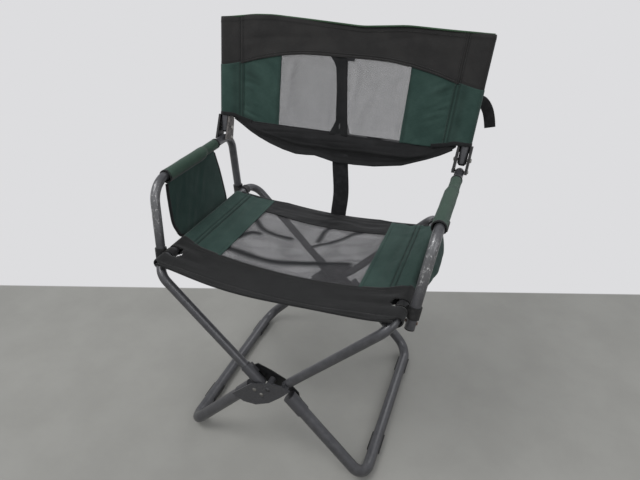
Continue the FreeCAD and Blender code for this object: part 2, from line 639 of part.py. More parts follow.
def leg_socket(side, leg_y, slope, radius, half):
    """A cylinder round an arm's leg, half above the rail and half below."""
    axis = rod(radius, f"2 * ({half}) / cos({slope})", axis=X_AXIS, turn=f"-({slope})")
    return put(group(axis), x=f"{side} * arm_gap", y=f"{leg_y} - ({half}) * tan({slope})", z=f"-({half})")


def knuckle(side, ring_y, leg_y, slope):
    """A moulded block that turns on the seat rail and holds an arm leg in its socket."""
    front, rear = f"{ring_y} - knuckle_width / 2", f"{ring_y} + knuckle_width / 2"
    ring = along_y("knuckle_ring", front, rear)
    socket = leg_socket(side, leg_y, slope, "knuckle_ring", "seat_tube + knuckle_margin")
    reach = "(arm_gap - seat_tube / 2)"
    bridge = block(
        reach, "knuckle_width", "seat_tube + 2 * knuckle_margin",
        x=f"{side} * seat_tube / 4 + min(0; {side}) * {reach}", y=front, z="-seat_tube / 2 - knuckle_margin",
    )
    rail_bore = along_y("seat_tube + running_gap", f"{front} - overcut", f"{rear} + overcut")
    leg_bore = leg_socket(side, leg_y, slope, "seat_tube + seat_gap", "4 * seat_tube")
    return cut(join(ring, socket, bridge), rail_bore, leg_bore)


def cross_rivet(half, radius, head, height):
    """A rivet along X with a head at each end."""
    shank = rod(radius, f"2 * ({half})", x=f"-({half})", turn="90")
    heads = [dome(head, height, x=half, turn="90"), dome(head, height, x=f"-({half})", turn="-90")]
    return join(shank, *heads)


def end_plug(x, y, z, slope):
    """A plug in the foot of an arm's leg, with a head as wide as the tube."""
    shank = rod("seat_bore - side_gap", "plug_length + side_gap", z="-side_gap")
    head = rod("seat_tube", "plug_head", z="-plug_head - side_gap")
    return put(join(shank, head), x=x, y=y, z=z, axis=X_AXIS, turn=f"-({slope})")


def arms():
    """Each arm stands beside its seat rail on two knuckles, and carries a padded sleeve and a pouch."""
    for side, word in SIDES:
        plane = f"{side} * arm_gap"
        frame = {"x": f"{side} * seat_half_width", "z": "seat_height", "turn": f"{side} * arm_lean"}
        node(f"arm_loop_{word}", arm_tube(side), **frame)
        front = knuckle(side, "-knuckle_front", "-knuckle_front", "arm_front_slope")
        node(f"arm_knuckle_front_{word}", front, **frame)
        rear = knuckle(side, "knuckle_rear", "arm_rear_at_rail", "arm_rear_slope")
        node(f"arm_knuckle_rear_{word}", rear, **frame)

        half = "seat_tube + seat_gap"
        rivet = cross_rivet(half, "arm_rivet_dia / 2", "arm_rivet_head / 2", "arm_rivet_height")
        put(rivet, x=plane, y=FOOT_RIVET[0], z=FOOT_RIVET[1])
        node(f"arm_foot_rivet_{word}", group(rivet), **frame)
        plugs = [
            end_plug(plane, "-arm_front_foot", "-arm_foot_drop", "arm_front_slope"),
            end_plug(plane, "arm_rear_foot", "-arm_rear_drop", "arm_rear_slope"),
        ]
        node(f"arm_foot_plugs_{word}", group(*plugs), **frame)

        sleeve = along_y("fabric_sleeve", "-arm_sleeve_front", "arm_sleeve_rear", plane, "arm_height")
        bore = along_y(
            "sleeve_bore", "-arm_sleeve_front - overcut", "arm_sleeve_rear + overcut", plane, "arm_height",
        )
        node(f"arm_sleeve_{word}", cut(sleeve, bore), **frame)
        pouch = block(
            "pouch_thickness", "pouch_front + pouch_rear", "pouch_depth", x=f"{plane} - pouch_thickness / 2",
            y="-pouch_front", z="arm_height - fabric_sleeve - soft_gap - pouch_depth",
        )
        node(f"arm_pouch_{word}", group(pouch), **frame)


def hinge_channel():
    """A moulded channel open to the front: its flanges run down and forward to straddle the armrest."""
    outline = [
        ("channel_back", "channel_top"),
        ("-channel_nose", "channel_top"),
        ("-channel_toe", "-channel_toe_drop"),
        ("channel_heel", "-channel_drop"),
        ("channel_back", "channel_web"),
    ]
    shell = group(slab(outline, "2 * channel_out", "YZ_Plane", midplane=True))
    corner = {"x": "-channel_half", "y": "-channel_toe - overcut", "z": "-channel_drop - overcut"}
    depth, height = "channel_toe + overcut", "channel_drop + overcut"
    inside = block("2 * channel_half", f"{depth} + web_face", f"{height} + channel_top + overcut", **corner)
    foot_room = block(
        "2 * channel_half", f"{depth} + channel_back + overcut", f"{height} + channel_web", **corner,
    )
    hole = cross_hole("arm_rivet_dia / 2 + seat_gap", "-channel_rivet_drop")
    return cut(shell, inside, foot_room, hole)


def cross_hole(radius, z="0"):
    """A hole along X through both flanges of a channel."""
    return rod(radius, "4 * channel_out", x="-2 * channel_out", z=z, turn="90")


def channel_rivets():
    """One in each flange, into the side of the armrest."""
    rivets = []
    for out in (LEFT, RIGHT):
        face = {"x": f"{out} * channel_out", "z": "-channel_rivet_drop"}
        shank = rod("arm_rivet_dia / 2", "channel_flange + arm_rivet_reach", **face, turn=f"{out} * -90")
        head = dome("arm_rivet_head / 2", "arm_rivet_height", **face, turn=f"{out} * 90")
        rivets.append(join(shank, head))
    return group(*rivets)


def back_post():
    """A tube from just below the pin to just below the back's top edge, closed by a tapered foot."""
    tube = rod("seat_tube", "post_length + post_foot", z="-post_foot")
    bore = rod("seat_bore", "post_length + post_foot + 2 * overcut", z="-post_foot - overcut")
    return join(cut(tube, bore), dome("seat_tube", "post_foot_height", z="-post_foot", turn="180"))


def post_cap():
    """A plug in the top of a post, with a head as wide as the tube."""
    shank = rod("seat_bore - seat_gap", "2 * plug_length + side_gap", z="post_length - 2 * plug_length")
    head = rod("seat_tube", "plug_head", z="post_length + side_gap")
    return join(shank, head)


def back_hinges():
    """A post stands in each channel and turns forward on the pin; the frame's origin is on the pin."""
    for side, word in SIDES:
        flare = {"turn": f"{side} * post_flare"}
        frame = {"x": f"{side} * pin_x", "y": "pin_rear", "z": "pin_z", "axis": X_AXIS, "turn": "-recline"}
        channel = cut(put(hinge_channel(), **flare), cross_hole("pin_dia / 2 + seat_gap"))
        node(f"hinge_channel_{word}", channel, **frame)
        node(f"hinge_channel_rivets_{word}", group(put(channel_rivets(), **flare)), **frame)
        pin = cross_rivet("channel_out + 2 * side_gap", "pin_dia / 2", "pin_head / 2", "head_height")
        node(f"hinge_pin_{word}", group(pin), **frame)
        post = cut(put(back_post(), **flare), cross_hole("pin_dia / 2 + running_gap"))
        node(f"back_post_{word}", post, **frame)
        node(f"back_post_cap_{word}", group(put(post_cap(), **flare)), **frame)


# ---------------------------------------------------------------- fabric


def sagging(label, left, right, front, rear, *cuts, extra=()):
    """A piece of the seat between two X and two Y limits, following the sag between the rails."""
    steps = 8
    across = [f"({left} + ({right} - ({left})) * {i} / {steps})" for i in range(steps + 1)]
    sag = "seat_top - seat_sag * (1 - ({x} / seat_half_width) ^ 2)"
    top = [(x, sag.format(x=x)) for x in across]
    under = [(x, sag.format(x=x) + " - cloth") for x in reversed(across)]
    sheet = put(slab(top + under, f"({rear}) - ({front})", "XZ_Plane"), y=rear)
    whole = join(sheet, *extra) if extra else sheet
    node(label, cut(whole, *cuts) if cuts else group(whole))


def round_rail(side, radius, front, rear):
    """A cylinder about a seat rail."""
    return along_y(radius, front, rear, f"{side} * seat_half_width", "seat_height")


def knuckle_slit(side):
    """Room in the front band for the front knuckle, which stands out of it."""
    return block(
        "slit_depth + seat_tube", "slit_length", "4 * seat_tube",
        x=f"{side} * (seat_half_width - slit_depth) + min(0; {side}) * (slit_depth + seat_tube)",
        y="-knuckle_front - slit_length / 2", z="seat_height - seat_tube",
    )


def seat():
    """Side strips that wrap the rails, bands at the front and rear, and mesh between them."""
    for side, word in SIDES:
        edges = [f"{side} * seat_half_width", f"{side} * seat_mesh_half"][::-side]
        wrap = round_rail(side, "fabric_sleeve", "band_rear", "seat_side_rear")
        bore = round_rail(side, "sleeve_bore", "band_rear - overcut", "seat_side_rear + overcut")
        sagging(f"seat_side_{word}", *edges, "band_rear", "seat_side_rear", bore, extra=[wrap])
    room = [knuckle_slit(side) for side in (LEFT, RIGHT)]
    for side in (LEFT, RIGHT):
        room.append(round_rail(side, "sleeve_bore", "-seat_front - overcut", "band_rear + overcut"))
    sagging("seat_front_band", "-seat_half_width", "seat_half_width", "-seat_front", "band_rear", *room)
    sagging("seat_mesh", "-seat_mesh_half", "seat_mesh_half", "band_rear", "mesh_rear")
    sagging("seat_rear_band", "-seat_mesh_half", "seat_mesh_half", "mesh_rear", "seat_rear")


# the back's own frame: X across it from the middle, Z up it from the hinge pins
BACK = {"y": "pin_rear", "z": "pin_z", "axis": X_AXIS, "turn": "-recline"}


def post_x(side, up):
    """X of a back post's centre line at a height along the back."""
    return f"{side} * (pin_x + ({up}) * tan(post_flare))"


def round_post(side, radius, low, high):
    """A cylinder about a back post, in the back's frame."""
    length = f"(({high}) - ({low})) / cos(post_flare)"
    return rod(radius, length, x=post_x(side, low), z=low, turn=f"{side} * post_flare")


def panel(label, outline, sleeve_span=None, bore_span=None, sides=()):
    """A flat piece of the back, with sleeves round the posts over one span, bored over another."""
    sheet = slab(outline, "cloth", "XZ_Plane", midplane=True)
    sleeves = [round_post(side, "fabric_sleeve", *sleeve_span) for side in sides]
    bores = [round_post(side, "sleeve_bore", *bore_span) for side in sides]
    node(label, cut(join(sheet, *sleeves), *bores) if sides else group(sheet), **BACK)


def back_corners(side):
    """The points of one side of the back, in its own frame, from the post to the middle."""
    seam_x = post_x(side, "top_band_side")
    return {
        "top": (post_x(side, "back_top"), "back_top"),
        "seam": (seam_x, "top_band_side"),
        "seam_start": (f"{seam_x} - {side} * (fabric_sleeve + overcut)", "top_band_side"),
        "mesh_corner": (f"{side} * back_mesh_half", "back_mesh_corner"),
        "mesh_notch": (f"{side} * top_seam_half", "top_band_middle"),
        "strip_top": (f"{side} * centre_strip_half", "top_band_middle"),
        "strip_foot": (f"{side} * centre_strip_half", "low_band_seam"),
        "mesh_foot": (f"{side} * back_mesh_half", "low_band_seam"),
        "low_seam_end": (f"{side} * low_seam_half", "low_band_seam"),
        "low_corner": (f"{side} * low_band_half", "low_band_side"),
        "hem": (post_x(side, "low_band_side"), "low_band_side"),
    }


def back():
    """Top band, two side panels, two meshes with a strip between them, and a sagging lower band."""
    corners = {side: back_corners(side) for side in (LEFT, RIGHT)}
    seam = ["seam", "seam_start", "mesh_corner", "mesh_notch"]
    outline = [corners[LEFT][name] for name in seam] + [corners[RIGHT][name] for name in reversed(seam)]
    outline += [corners[RIGHT]["top"], corners[LEFT]["top"]]
    seam_under, seam_over = "top_band_side - 4 * overcut", "top_band_side + 4 * overcut"
    top_sleeves = ("top_band_side", "back_top"), (seam_under, "cap_top + soft_gap")
    panel("back_top_band", outline, *top_sleeves, sides=(LEFT, RIGHT))
    side_outline = ["mesh_foot", "low_seam_end", "low_corner", "hem", "seam", "seam_start", "mesh_corner"]
    mesh_outline = ["mesh_foot", "mesh_corner", "mesh_notch", "strip_top", "strip_foot"]
    for side, word in SIDES:
        panel(
            f"back_side_{word}", [corners[side][name] for name in side_outline],
            ("low_band_side", "top_band_side"), ("low_band_side - 4 * overcut", seam_over), (side,),
        )
        panel(f"back_mesh_{word}", [corners[side][name] for name in mesh_outline])
    strip = [(LEFT, "strip_foot"), (RIGHT, "strip_foot"), (RIGHT, "strip_top"), (LEFT, "strip_top")]
    panel("back_centre_strip", [corners[side][name] for side, name in strip])
    steps = 6
    hem_line = "(low_band_side + low_band_middle) * ({share}) ^ 2 - low_band_middle"
    shares = [f"{i} / {steps}" for i in range(-steps, steps + 1)]
    lower_edge = [(f"{share} * low_band_half", hem_line.format(share=share)) for share in shares]
    panel("back_lower_band", lower_edge + [corners[side]["low_seam_end"] for side in (RIGHT, LEFT)])


def strap():
    """A webbing strap sewn behind the back's middle, hanging behind the lower band to the seat's rear edge."""
    def on_back(up, behind):
        y = f"pin_rear + ({up}) * sin(recline) + ({behind}) * cos(recline)"
        z = f"pin_z + ({up}) * cos(recline) - ({behind}) * sin(recline)"
        return y, z

    near, far = "cloth / 2 + side_gap", "cloth / 2 + side_gap + strap_cloth"
    seat_edge, seat_edge_far = "seat_rear + side_gap", "seat_rear + side_gap + strap_cloth"
    rise, drop = "seat_middle + strap_rise", "seat_middle - strap_drop"
    front_face = [on_back("top_band_middle", near), on_back("-low_band_middle", near)]
    front_face += [(seat_edge, rise), (seat_edge, drop)]
    rear_face = [(seat_edge_far, drop), (seat_edge_far, rise)]
    rear_face += [on_back("-low_band_middle", far), on_back("top_band_middle", far)]
    ribbon = slab(front_face + rear_face, "strap_width", "YZ_Plane", midplane=True)
    node("back_strap", group(ribbon), x="strap_offset")


def check_and_write():
    """Stops on any failed object or solid, then writes one STEP file for each node."""
    DOC.recompute()
    failed = [piece.Label for piece in DOC.Objects if {"Invalid", "Error"} & set(piece.State)]
    if failed:
        raise SystemExit(f"these objects failed: {failed}")
    for piece in NODES:
        if piece.Shape.isNull() or not piece.Shape.isValid() or not piece.Shape.Solids:
            raise SystemExit(f"{piece.Label} has no valid solid")
    os.makedirs("parts", exist_ok=True)
    for piece in NODES:
        piece.Shape.exportStep(f"parts/{piece.Label}.step")
    print(f"{len(NODES)} nodes written")


fill_sheet()
loops()
hubs()
foot_pads()
arms()
back_hinges()
seat()
back()
strap()
check_and_write()
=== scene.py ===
from math import asin, cos, pi, radians, sin, tan

import bmesh
import bpy
import numpy as np
from mathutils import Matrix, Vector


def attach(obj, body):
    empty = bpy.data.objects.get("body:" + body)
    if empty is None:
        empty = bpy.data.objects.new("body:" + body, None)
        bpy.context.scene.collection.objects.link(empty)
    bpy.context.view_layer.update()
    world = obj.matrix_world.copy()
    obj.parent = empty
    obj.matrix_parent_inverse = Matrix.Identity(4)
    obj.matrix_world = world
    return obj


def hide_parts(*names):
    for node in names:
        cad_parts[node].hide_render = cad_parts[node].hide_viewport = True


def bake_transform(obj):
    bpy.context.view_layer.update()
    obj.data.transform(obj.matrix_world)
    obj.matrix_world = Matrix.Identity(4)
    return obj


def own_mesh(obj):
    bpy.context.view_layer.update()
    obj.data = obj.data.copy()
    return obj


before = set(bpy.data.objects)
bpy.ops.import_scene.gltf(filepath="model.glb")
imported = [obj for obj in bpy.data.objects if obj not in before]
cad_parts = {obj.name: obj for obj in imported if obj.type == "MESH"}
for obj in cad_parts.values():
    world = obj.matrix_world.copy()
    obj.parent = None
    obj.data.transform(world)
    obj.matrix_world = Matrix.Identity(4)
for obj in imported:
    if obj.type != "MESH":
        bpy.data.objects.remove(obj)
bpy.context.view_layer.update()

MM = 0.001
SIDES = ((-1, "left"), (1, "right"))

# ---- the chair's sizes, in mm, as in the CAD

RAIL_X, RAIL_Z = 243.6, 452.0  # a seat rail's centre line
WRAP = 10.9  # a tube's centre line to the middle of the fabric round it
SEAT_TOP = RAIL_Z + WRAP
SEAT_SAG = 29.0
FRONT_LIFT = 7.0  # how much less the seat's front hem sags
SEAT_FRONT, BAND_REAR, MESH_REAR, SEAT_REAR = -219.0, -121.0, 89.0, 152.0
MESH_HALF = 154.0
SLIT = (-176.5, -153.5)  # the front knuckles come out of the seat between these
SLIT_X = 228.6
APRON_SEAM, APRON_END = SEAT_FRONT + 13, 252  # Y of the front hem's seam, and X where the apron ends

PIN_X, PIN_Y, PIN_Z = 283.28, 164.0, 615.44  # the back's hinge pins
RECLINE, FLARE = radians(14.4), radians(2.9)
POST_TOP = 245.0
SEAM_IN = 42.0  # a back post to the double seam beside it
SEAM_AT = PIN_X + 80 * tan(FLARE) - SEAM_IN
BACK_MESH_HALF = 150.0
LOW_SEAM, HEM_UP, LOW_MIDDLE, LOW_HALF = 19.0, 31.0, -43.0, 266.0

ARM_LEAN = radians(6.5)
ARM_GAP, ARM_HEIGHT = 22.4, 143.4
BAR_Z = RAIL_Z + ARM_HEIGHT * cos(ARM_LEAN) - ARM_GAP * sin(ARM_LEAN)
POCKET_FACE = 40.6  # cloth from the double seam to where it meets the post, in front and behind
SEAT_SEAMS = (209.0, 218.0)  # X of the double seam beside a seat rail
HUB_PLATE = 0.2005  # metres from the middle to the outer face of the inner hub plates
# the flange at FLANGE_X gets a painted light colour in the hinge's material
FLANGE_X = -0.275  # metres to the left hinge channel's inner flange

LAP = 8.0  # how far the post sleeves lap over the back's middle


# ---- materials


class Shader:
    """One node material. Colours are sRGB from 0 to 255."""

    def __init__(self, name):
        self.material = bpy.data.materials.new(name)
        self.material.use_nodes = True
        self.tree = self.material.node_tree
        self.surface = next(n for n in self.tree.nodes if n.type == "BSDF_PRINCIPLED")
        self.output = next(n for n in self.tree.nodes if n.type == "OUTPUT_MATERIAL")

    def put(self, socket, wanted):
        """Links another socket to this one, or sets it; a colour is three sRGB numbers."""
        if isinstance(wanted, bpy.types.NodeSocket):
            self.tree.links.new(wanted, socket)
        else:
            socket.default_value = srgb(*wanted) if socket.type == "RGBA" else wanted

    def add(self, kind, sockets=None, **settings):
        node = self.tree.nodes.new("ShaderNode" + kind)
        for key, setting in settings.items():
            setattr(node, key, setting)
        for key, wanted in (sockets or {}).items():
            self.put(node.inputs[key], wanted)
        return node

    def place(self, uv=False):
        """Coordinates in metres: the fabric's own, or the object's."""
        if uv:
            return self.add("UVMap", uv_map="cloth").outputs["UV"]
        return self.add("TexCoord").outputs["Object"]

    def shade(self):
        """How much painted shade a place gets, from 0 to 1, as kept on the mesh: most in folds and along
        seams.
        """
        return self.add("Attribute", attribute_name="shade", attribute_type="GEOMETRY").outputs["Fac"]

    def noise(self, at, scale, detail=3.0, rough=0.55, warp=0.0):
        sockets = {"Vector": at, "Scale": scale, "Detail": detail, "Roughness": rough, "Distortion": warp}
        return self.add("TexNoise", sockets).outputs["Fac"]

    def bands(self, at, pitch, direction, **more):
        """Waves across a cloth, one to a pitch in metres."""
        sockets = {"Vector": at, "Scale": pi / 10 / pitch, **more}
        return self.add("TexWave", sockets, wave_type="BANDS", bands_direction=direction).outputs["Fac"]

    def stretch(self, at, x, y, z=1.0):
        return self.add("Mapping", {"Vector": at, "Scale": (x, y, z)}).outputs["Vector"]

    def split(self, at, axis):
        return self.add("SeparateXYZ", {"Vector": at}).outputs[axis]

    def math(self, operation, a, b=0.5):
        return self.add("Math", {0: a, 1: b}, operation=operation).outputs[0]

    def times(self, a, b):
        return self.math("MULTIPLY", a, b)

    def span(self, value, low, high, to_low=0.0, to_high=1.0):
        sockets = {"Value": value, "From Min": low, "From Max": high, "To Min": to_low, "To Max": to_high}
        return self.add("MapRange", sockets, interpolation_type="SMOOTHSTEP").outputs["Result"]

    def mix(self, share, a, b):
        return self.add("Mix", {0: share, 6: a, 7: b}, data_type="RGBA").outputs[2]

    def bump(self, height, strength, distance, under=None):
        sockets = {"Height": height, "Strength": strength, "Distance": distance}
        if under is not None:
            sockets["Normal"] = under
        return self.add("Bump", sockets).outputs["Normal"]

    def finish(self, **sockets):
        names = {"colour": "Base Color", "normal": "Normal", "rough": "Roughness", "metal": "Metallic",
                 "specular": "Specular IOR Level", "sheen": "Sheen Weight", "sheen_rough": "Sheen Roughness",
                 "alpha": "Alpha", "coat": "Coat Weight", "coat_rough": "Coat Roughness"}
        for key, wanted in sockets.items():
            self.put(self.surface.inputs[names[key]], wanted)
        return self.material


def srgb(r, g, b):
    """A colour in linear light, for a socket."""
    linear = [c / 255 / 12.92 if c <= 10 else ((c / 255 + 0.055) / 1.055) ** 2.4 for c in (r, g, b)]
    return (*linear, 1.0)


def darker(colour, share):
    return [part * share for part in colour]


def hammered(name, dark, light, worn=False):
    """Hammered paint: small raised cells, faintly mottled. Worn is rubbed bright at the arms' front bends."""
    s = Shader(name)
    at = s.place()
    cells = s.add("TexVoronoi", {"Vector": at, "Scale": 260.0, "Smoothness": 0.6}, feature="SMOOTH_F1")
    mottle = s.noise(at, 70.0, 3.0, 0.55)
    colour = s.mix(s.span(mottle, 0.34, 0.68), dark, light)
    flecks = s.span(s.noise(at, 620.0, 2.0, 0.5), 0.62, 0.76)
    colour = s.mix(s.times(flecks, 0.2), colour, (150, 151, 152))
    rough = s.span(mottle, 0.3, 0.7, 0.33, 0.40)
    if worn:
        near = s.times(s.span(s.split(at, "Y"), -0.112, -0.150), s.span(s.split(at, "Z"), 0.47, 0.54))
        chips = s.span(s.noise(s.stretch(at, 1.0, 1.4, 0.6), 210.0, 5.0, 0.7, 1.2), 0.575, 0.63)
        bare = s.times(near, chips)
        colour = s.mix(s.times(near, 0.4), colour, (150, 150, 151))
        colour = s.mix(bare, colour, (222, 222, 220))
        rough = s.math("SUBTRACT", rough, s.times(bare, 0.1))
    normal = s.bump(cells.outputs["Distance"], 0.16, 0.0005)
    return s.finish(colour=colour, rough=rough, metal=0.35, specular=0.7, normal=normal, coat=0.15,
                    coat_rough=0.25)


def plain_metal(name, dark, light, metal, rough, grain=(1.0, 1.0, 1.0), inner=None, sockets=None):
    """Painted or plated sheet, a little scuffed.

    inner is a lighter grey-brown painted on the left hinge's flange that faces the middle: painted light
    for the light that falls on that face. sockets is the colour of a bracket outside its plate.
    """
    s = Shader(name)
    at = s.place()
    scuffs = s.noise(s.stretch(at, *grain), 160.0, 5.0, 0.65)
    colour = s.mix(s.span(scuffs, 0.35, 0.7), dark, light)
    # painted light: the left hinge's flange that faces the middle gets a lighter, lit colour
    if inner:
        across = s.split(at, "X")
        painted_light_tint = s.mix(s.span(scuffs, 0.4, 0.65), inner, darker(inner, 0.72))
        on_left = s.span(across, 0.0, -0.01)
        lit_flange_mask = s.times(s.span(across, FLANGE_X - 0.0005, FLANGE_X + 0.0005), on_left)
        colour = s.mix(lit_flange_mask, colour, painted_light_tint)
    if sockets:
        depth = s.math("ABSOLUTE", s.math("ADD", s.split(at, "Y"), 0.005))
        colour = s.mix(s.span(depth, HUB_PLATE, HUB_PLATE + 0.001), colour, sockets)
    return s.finish(colour=colour, metal=metal, rough=s.span(scuffs, 0.3, 0.7, rough - 0.08, rough + 0.1),
                    normal=s.bump(scuffs, 0.15, 0.0004))


def rusty(name):
    """A plated rivet gone brown with rust."""
    s = Shader(name)
    at = s.place()
    spots = s.noise(at, 420.0, 4.0, 0.7)
    colour = s.mix(s.span(spots, 0.4, 0.6), (124, 116, 108), (112, 78, 60))
    rough = s.span(spots, 0.4, 0.6, 0.4, 0.75)
    return s.finish(colour=colour, metal=0.4, rough=rough, normal=s.bump(spots, 0.3, 0.0005))


def plastic(name, colour, dusty):
    s = Shader(name)
    at = s.place()
    dust = s.noise(at, 70.0, 4.0, 0.6)
    return s.finish(colour=s.mix(s.span(dust, 0.42, 0.75), colour, dusty), specular=0.45,
                    rough=s.span(dust, 0.3, 0.7, 0.42, 0.6),
                    normal=s.bump(s.noise(at, 900.0, 2.0, 0.6), 0.12, 0.0003))


def woven(name, colour, faded, pitch=0.0009, sheen=0.15, streak=0.0):
    """Woven cloth: threads both ways, lighter where it is rubbed, with lint, slow changes of tone, and painted
    shade in folds and seams.
    """
    s = Shader(name)
    at = s.place(uv=True)
    uneven = {"Distortion": 0.6, "Detail": 1.0, "Detail Scale": 2.0}
    threads = s.times(s.bands(at, pitch, "X", **uneven), s.bands(at, pitch, "Y", **uneven))
    slow = s.noise(at, 14.0, 4.0, 0.6)
    slub = s.noise(s.stretch(at, 1.0, 14.0), 110.0, 3.0, 0.6)
    lint = s.span(s.noise(at, 1400.0, 2.0, 0.5), 0.66, 0.78)
    shade = s.math("ADD", s.times(slow, 0.7), s.times(slub, 0.3))
    tone = s.mix(s.span(shade, 0.36, 0.66), colour, faded)
    tone = s.mix(s.times(s.math("SUBTRACT", 1.0, threads), 0.22), tone, darker(colour, 0.55))
    tone = s.mix(s.times(lint, 0.16), tone, (170, 172, 168))
    # painted shade: darker where the shade attribute marks folds, seams, valleys and undersides
    tone = s.mix(s.times(s.shade(), 0.75), tone, darker(colour, 0.35))
    normal = s.bump(slub, 0.25 + streak, 0.0006, s.bump(threads, 0.55, 0.00022))
    return s.finish(colour=tone, rough=0.82, specular=0.25, sheen=sheen, sheen_rough=0.45, normal=normal)


def netting(name, thread, low_thread, edge, pitch, fold_shade_colour):
    """Open mesh: rows of holes between fine threads, closed where it lies in a fold and darkened there with
    painted shade.

    The thread's colour changes from thread at the top of the sheet to low_thread at its foot.
    """
    s = Shader(name)
    at = s.place(uv=True)
    turned = s.add("Mapping", {"Vector": at, "Rotation": (0.0, 0.0, radians(45))}).outputs["Vector"]
    holes = s.times(s.bands(turned, pitch, "X"), s.bands(turned, pitch, "Y"))
    solid = s.span(holes, edge, edge * 0.4)
    fold_shade = s.shade()
    solid = s.math("MAXIMUM", solid, s.times(fold_shade, 0.96))
    # painted shade: the net turns to a dark colour along its folds
    colour = s.mix(s.span(s.split(at, "Y"), 0.0, 0.17), low_thread, thread)
    colour = s.mix(fold_shade, colour, fold_shade_colour)
    return s.finish(colour=colour, rough=0.62, specular=0.3, alpha=solid, normal=s.bump(holes, 0.3, 0.0003))


def ribbed(name, colour, light):
    """Webbing: ribs across the strap and fine threads along it."""
    s = Shader(name)
    at = s.place(uv=True)
    height = s.math("ADD", s.bands(at, 0.0016, "Y"), s.times(s.bands(at, 0.0011, "X"), 0.4))
    tone = s.mix(s.span(s.noise(at, 60.0, 4.0), 0.4, 0.7), colour, light)
    return s.finish(colour=tone, rough=0.7, specular=0.35, sheen=0.1, sheen_rough=0.4,
                    normal=s.bump(height, 0.6, 0.0004))


PAINT = hammered("paint_hammered", (74, 74, 77), (84, 84, 87))
ARM_PAINT = hammered("paint_hammered_worn", (74, 74, 77), (86, 86, 89), worn=True)
# inner is painted light on the left hinge's flange that faces the middle; the hinge itself is black
CHANNEL = plain_metal("hinge_black", (22, 22, 23), (40, 39, 39), 0.2, 0.45, inner=(92, 87, 84))
BRACKET = plain_metal("bracket_grey", (70, 70, 73), (88, 88, 91), 0.4, 0.38, grain=(1.0, 1.0, 3.0))
BRACKET_DARK = plain_metal("bracket_dark", (24, 24, 25), (44, 44, 45), 0.3, 0.45, sockets=(78, 78, 81))
RIVET = plain_metal("rivet_pale", (130, 128, 124), (184, 182, 176), 0.7, 0.38)
RIVET_GREY = plain_metal("rivet_grey", (100, 99, 96), (142, 140, 136), 0.7, 0.38)
RIVET_DARK = plain_metal("rivet_dark", (60, 60, 62), (92, 92, 93), 0.6, 0.4)
RUST = rusty("rivet_rusty")
PLASTIC = plastic("plastic_black", (27, 27, 28), (52, 51, 50))
GREEN = woven("cloth_green", (44, 68, 62), (60, 84, 77))
# painted shade: a darker copy of the green for the pouches hanging under the arms
GREEN_PAINTED_SHADE = woven("cloth_green_pouch_painted_shade", (38, 61, 56), (50, 73, 67))
# painted light: a lighter copy of the green for the armrest sleeves, as if lit from above
GREEN_PAINTED_LIGHT = woven("cloth_green_painted_light", (52, 76, 64), (68, 92, 77), sheen=0.2)
BLACK = woven("cloth_black", (41, 40, 40), (53, 52, 51), pitch=0.0011, streak=0.1)
BLACK_SEAT = woven("cloth_black_seat", (29, 29, 29), (38, 38, 38), pitch=0.0011, streak=0.1)
BLACK_LOW = woven("cloth_black_low", (27, 27, 28), (39, 39, 40), pitch=0.0011, streak=0.15)
BINDING = woven("cloth_binding", (24, 25, 26), (38, 39, 40), pitch=0.0012)
PIPING = woven("cloth_piping", (58, 82, 60), (76, 102, 78))
# the last colour of each net is painted shade for its folds
SEAT_NET = netting("net_seat", (84, 83, 85), (84, 83, 85), 0.22, 0.0018, (38, 38, 40))
BACK_NET = netting("net_back", (92, 92, 92), (96, 96, 97), 0.46, 0.0013, (60, 60, 61))
WEBBING = ribbed("webbing_black", (22, 22, 24), (40, 40, 42))
THREAD_GREEN = woven("thread_green", (26, 44, 40), (36, 56, 50), pitch=0.0006)
THREAD_BLACK = woven("thread_black", (66, 65, 64), (84, 83, 82), pitch=0.0006)

# ---- fabric tools


def noise(x, y, seed):
    """Smooth noise from -1 to 1, one bump to a unit."""
    table = np.random.default_rng(seed).uniform(-1, 1, (64, 64))
    column, row = np.floor(x).astype(int), np.floor(y).astype(int)
    fx, fy = x - column, y - row
    fx, fy = fx * fx * (3 - 2 * fx), fy * fy * (3 - 2 * fy)

    def at(i, j):
        return table[(row + j) % 64, (column + i) % 64]

    return (at(0, 0) * (1 - fx) + at(1, 0) * fx) * (1 - fy) + (at(0, 1) * (1 - fx) + at(1, 1) * fx) * fy


def creases(x, y, angle, pitch, length, seed):
    """Ridges and valleys of cloth, from -1 to 1, running along an angle in degrees."""
    a = radians(angle)
    along, across = x * cos(a) + y * sin(a), y * cos(a) - x * sin(a)
    bend = noise(along / length, across / length, seed) * 0.8
    ridge = noise(along / length, across / pitch + bend, seed + 1)
    fine = noise(along / length * 2.1, across / pitch * 2.3 + bend, seed + 2)
    return (1 - 2 * np.sqrt(ridge ** 2 + 0.01)) * 0.7 + fine * 0.3


def crumple(x, y, *sets):
    """Several sets of creases, each given as its height and what creases takes."""
    return sum(height * creases(x, y, *lie) for height, *lie in sets)


def bell(x, centre, width):
    return np.exp(-(((x - centre) / width) ** 2))


def near_line(x, y, line, width):
    """1 on a line of a few points, falling to 0 beside it."""
    route = curve(line, 12 * len(line))
    away = np.full(np.shape(x), 1e9)
    for (ax, ay), (bx, by) in zip(route[:-1], route[1:]):
        dx, dy = bx - ax, by - ay
        share = unit(((x - ax) * dx + (y - ay) * dy) / (dx * dx + dy * dy))
        away = np.minimum(away, np.hypot(x - ax - share * dx, y - ay - share * dy))
    return np.exp(-((away / width) ** 2))


def unit(x):
    return np.clip(x, 0, 1)


def step(x, low, high):
    t = unit((x - low) / (high - low))
    return t * t * (3 - 2 * t)


def run_of(points, axis=0):
    """The length along a line at each of its points, or along the rows or columns of a sheet."""
    steps = np.linalg.norm(np.diff(points, axis=axis), axis=-1)
    return np.pad(np.cumsum(steps, axis=axis), [(int(k == axis), 0) for k in range(steps.ndim)])


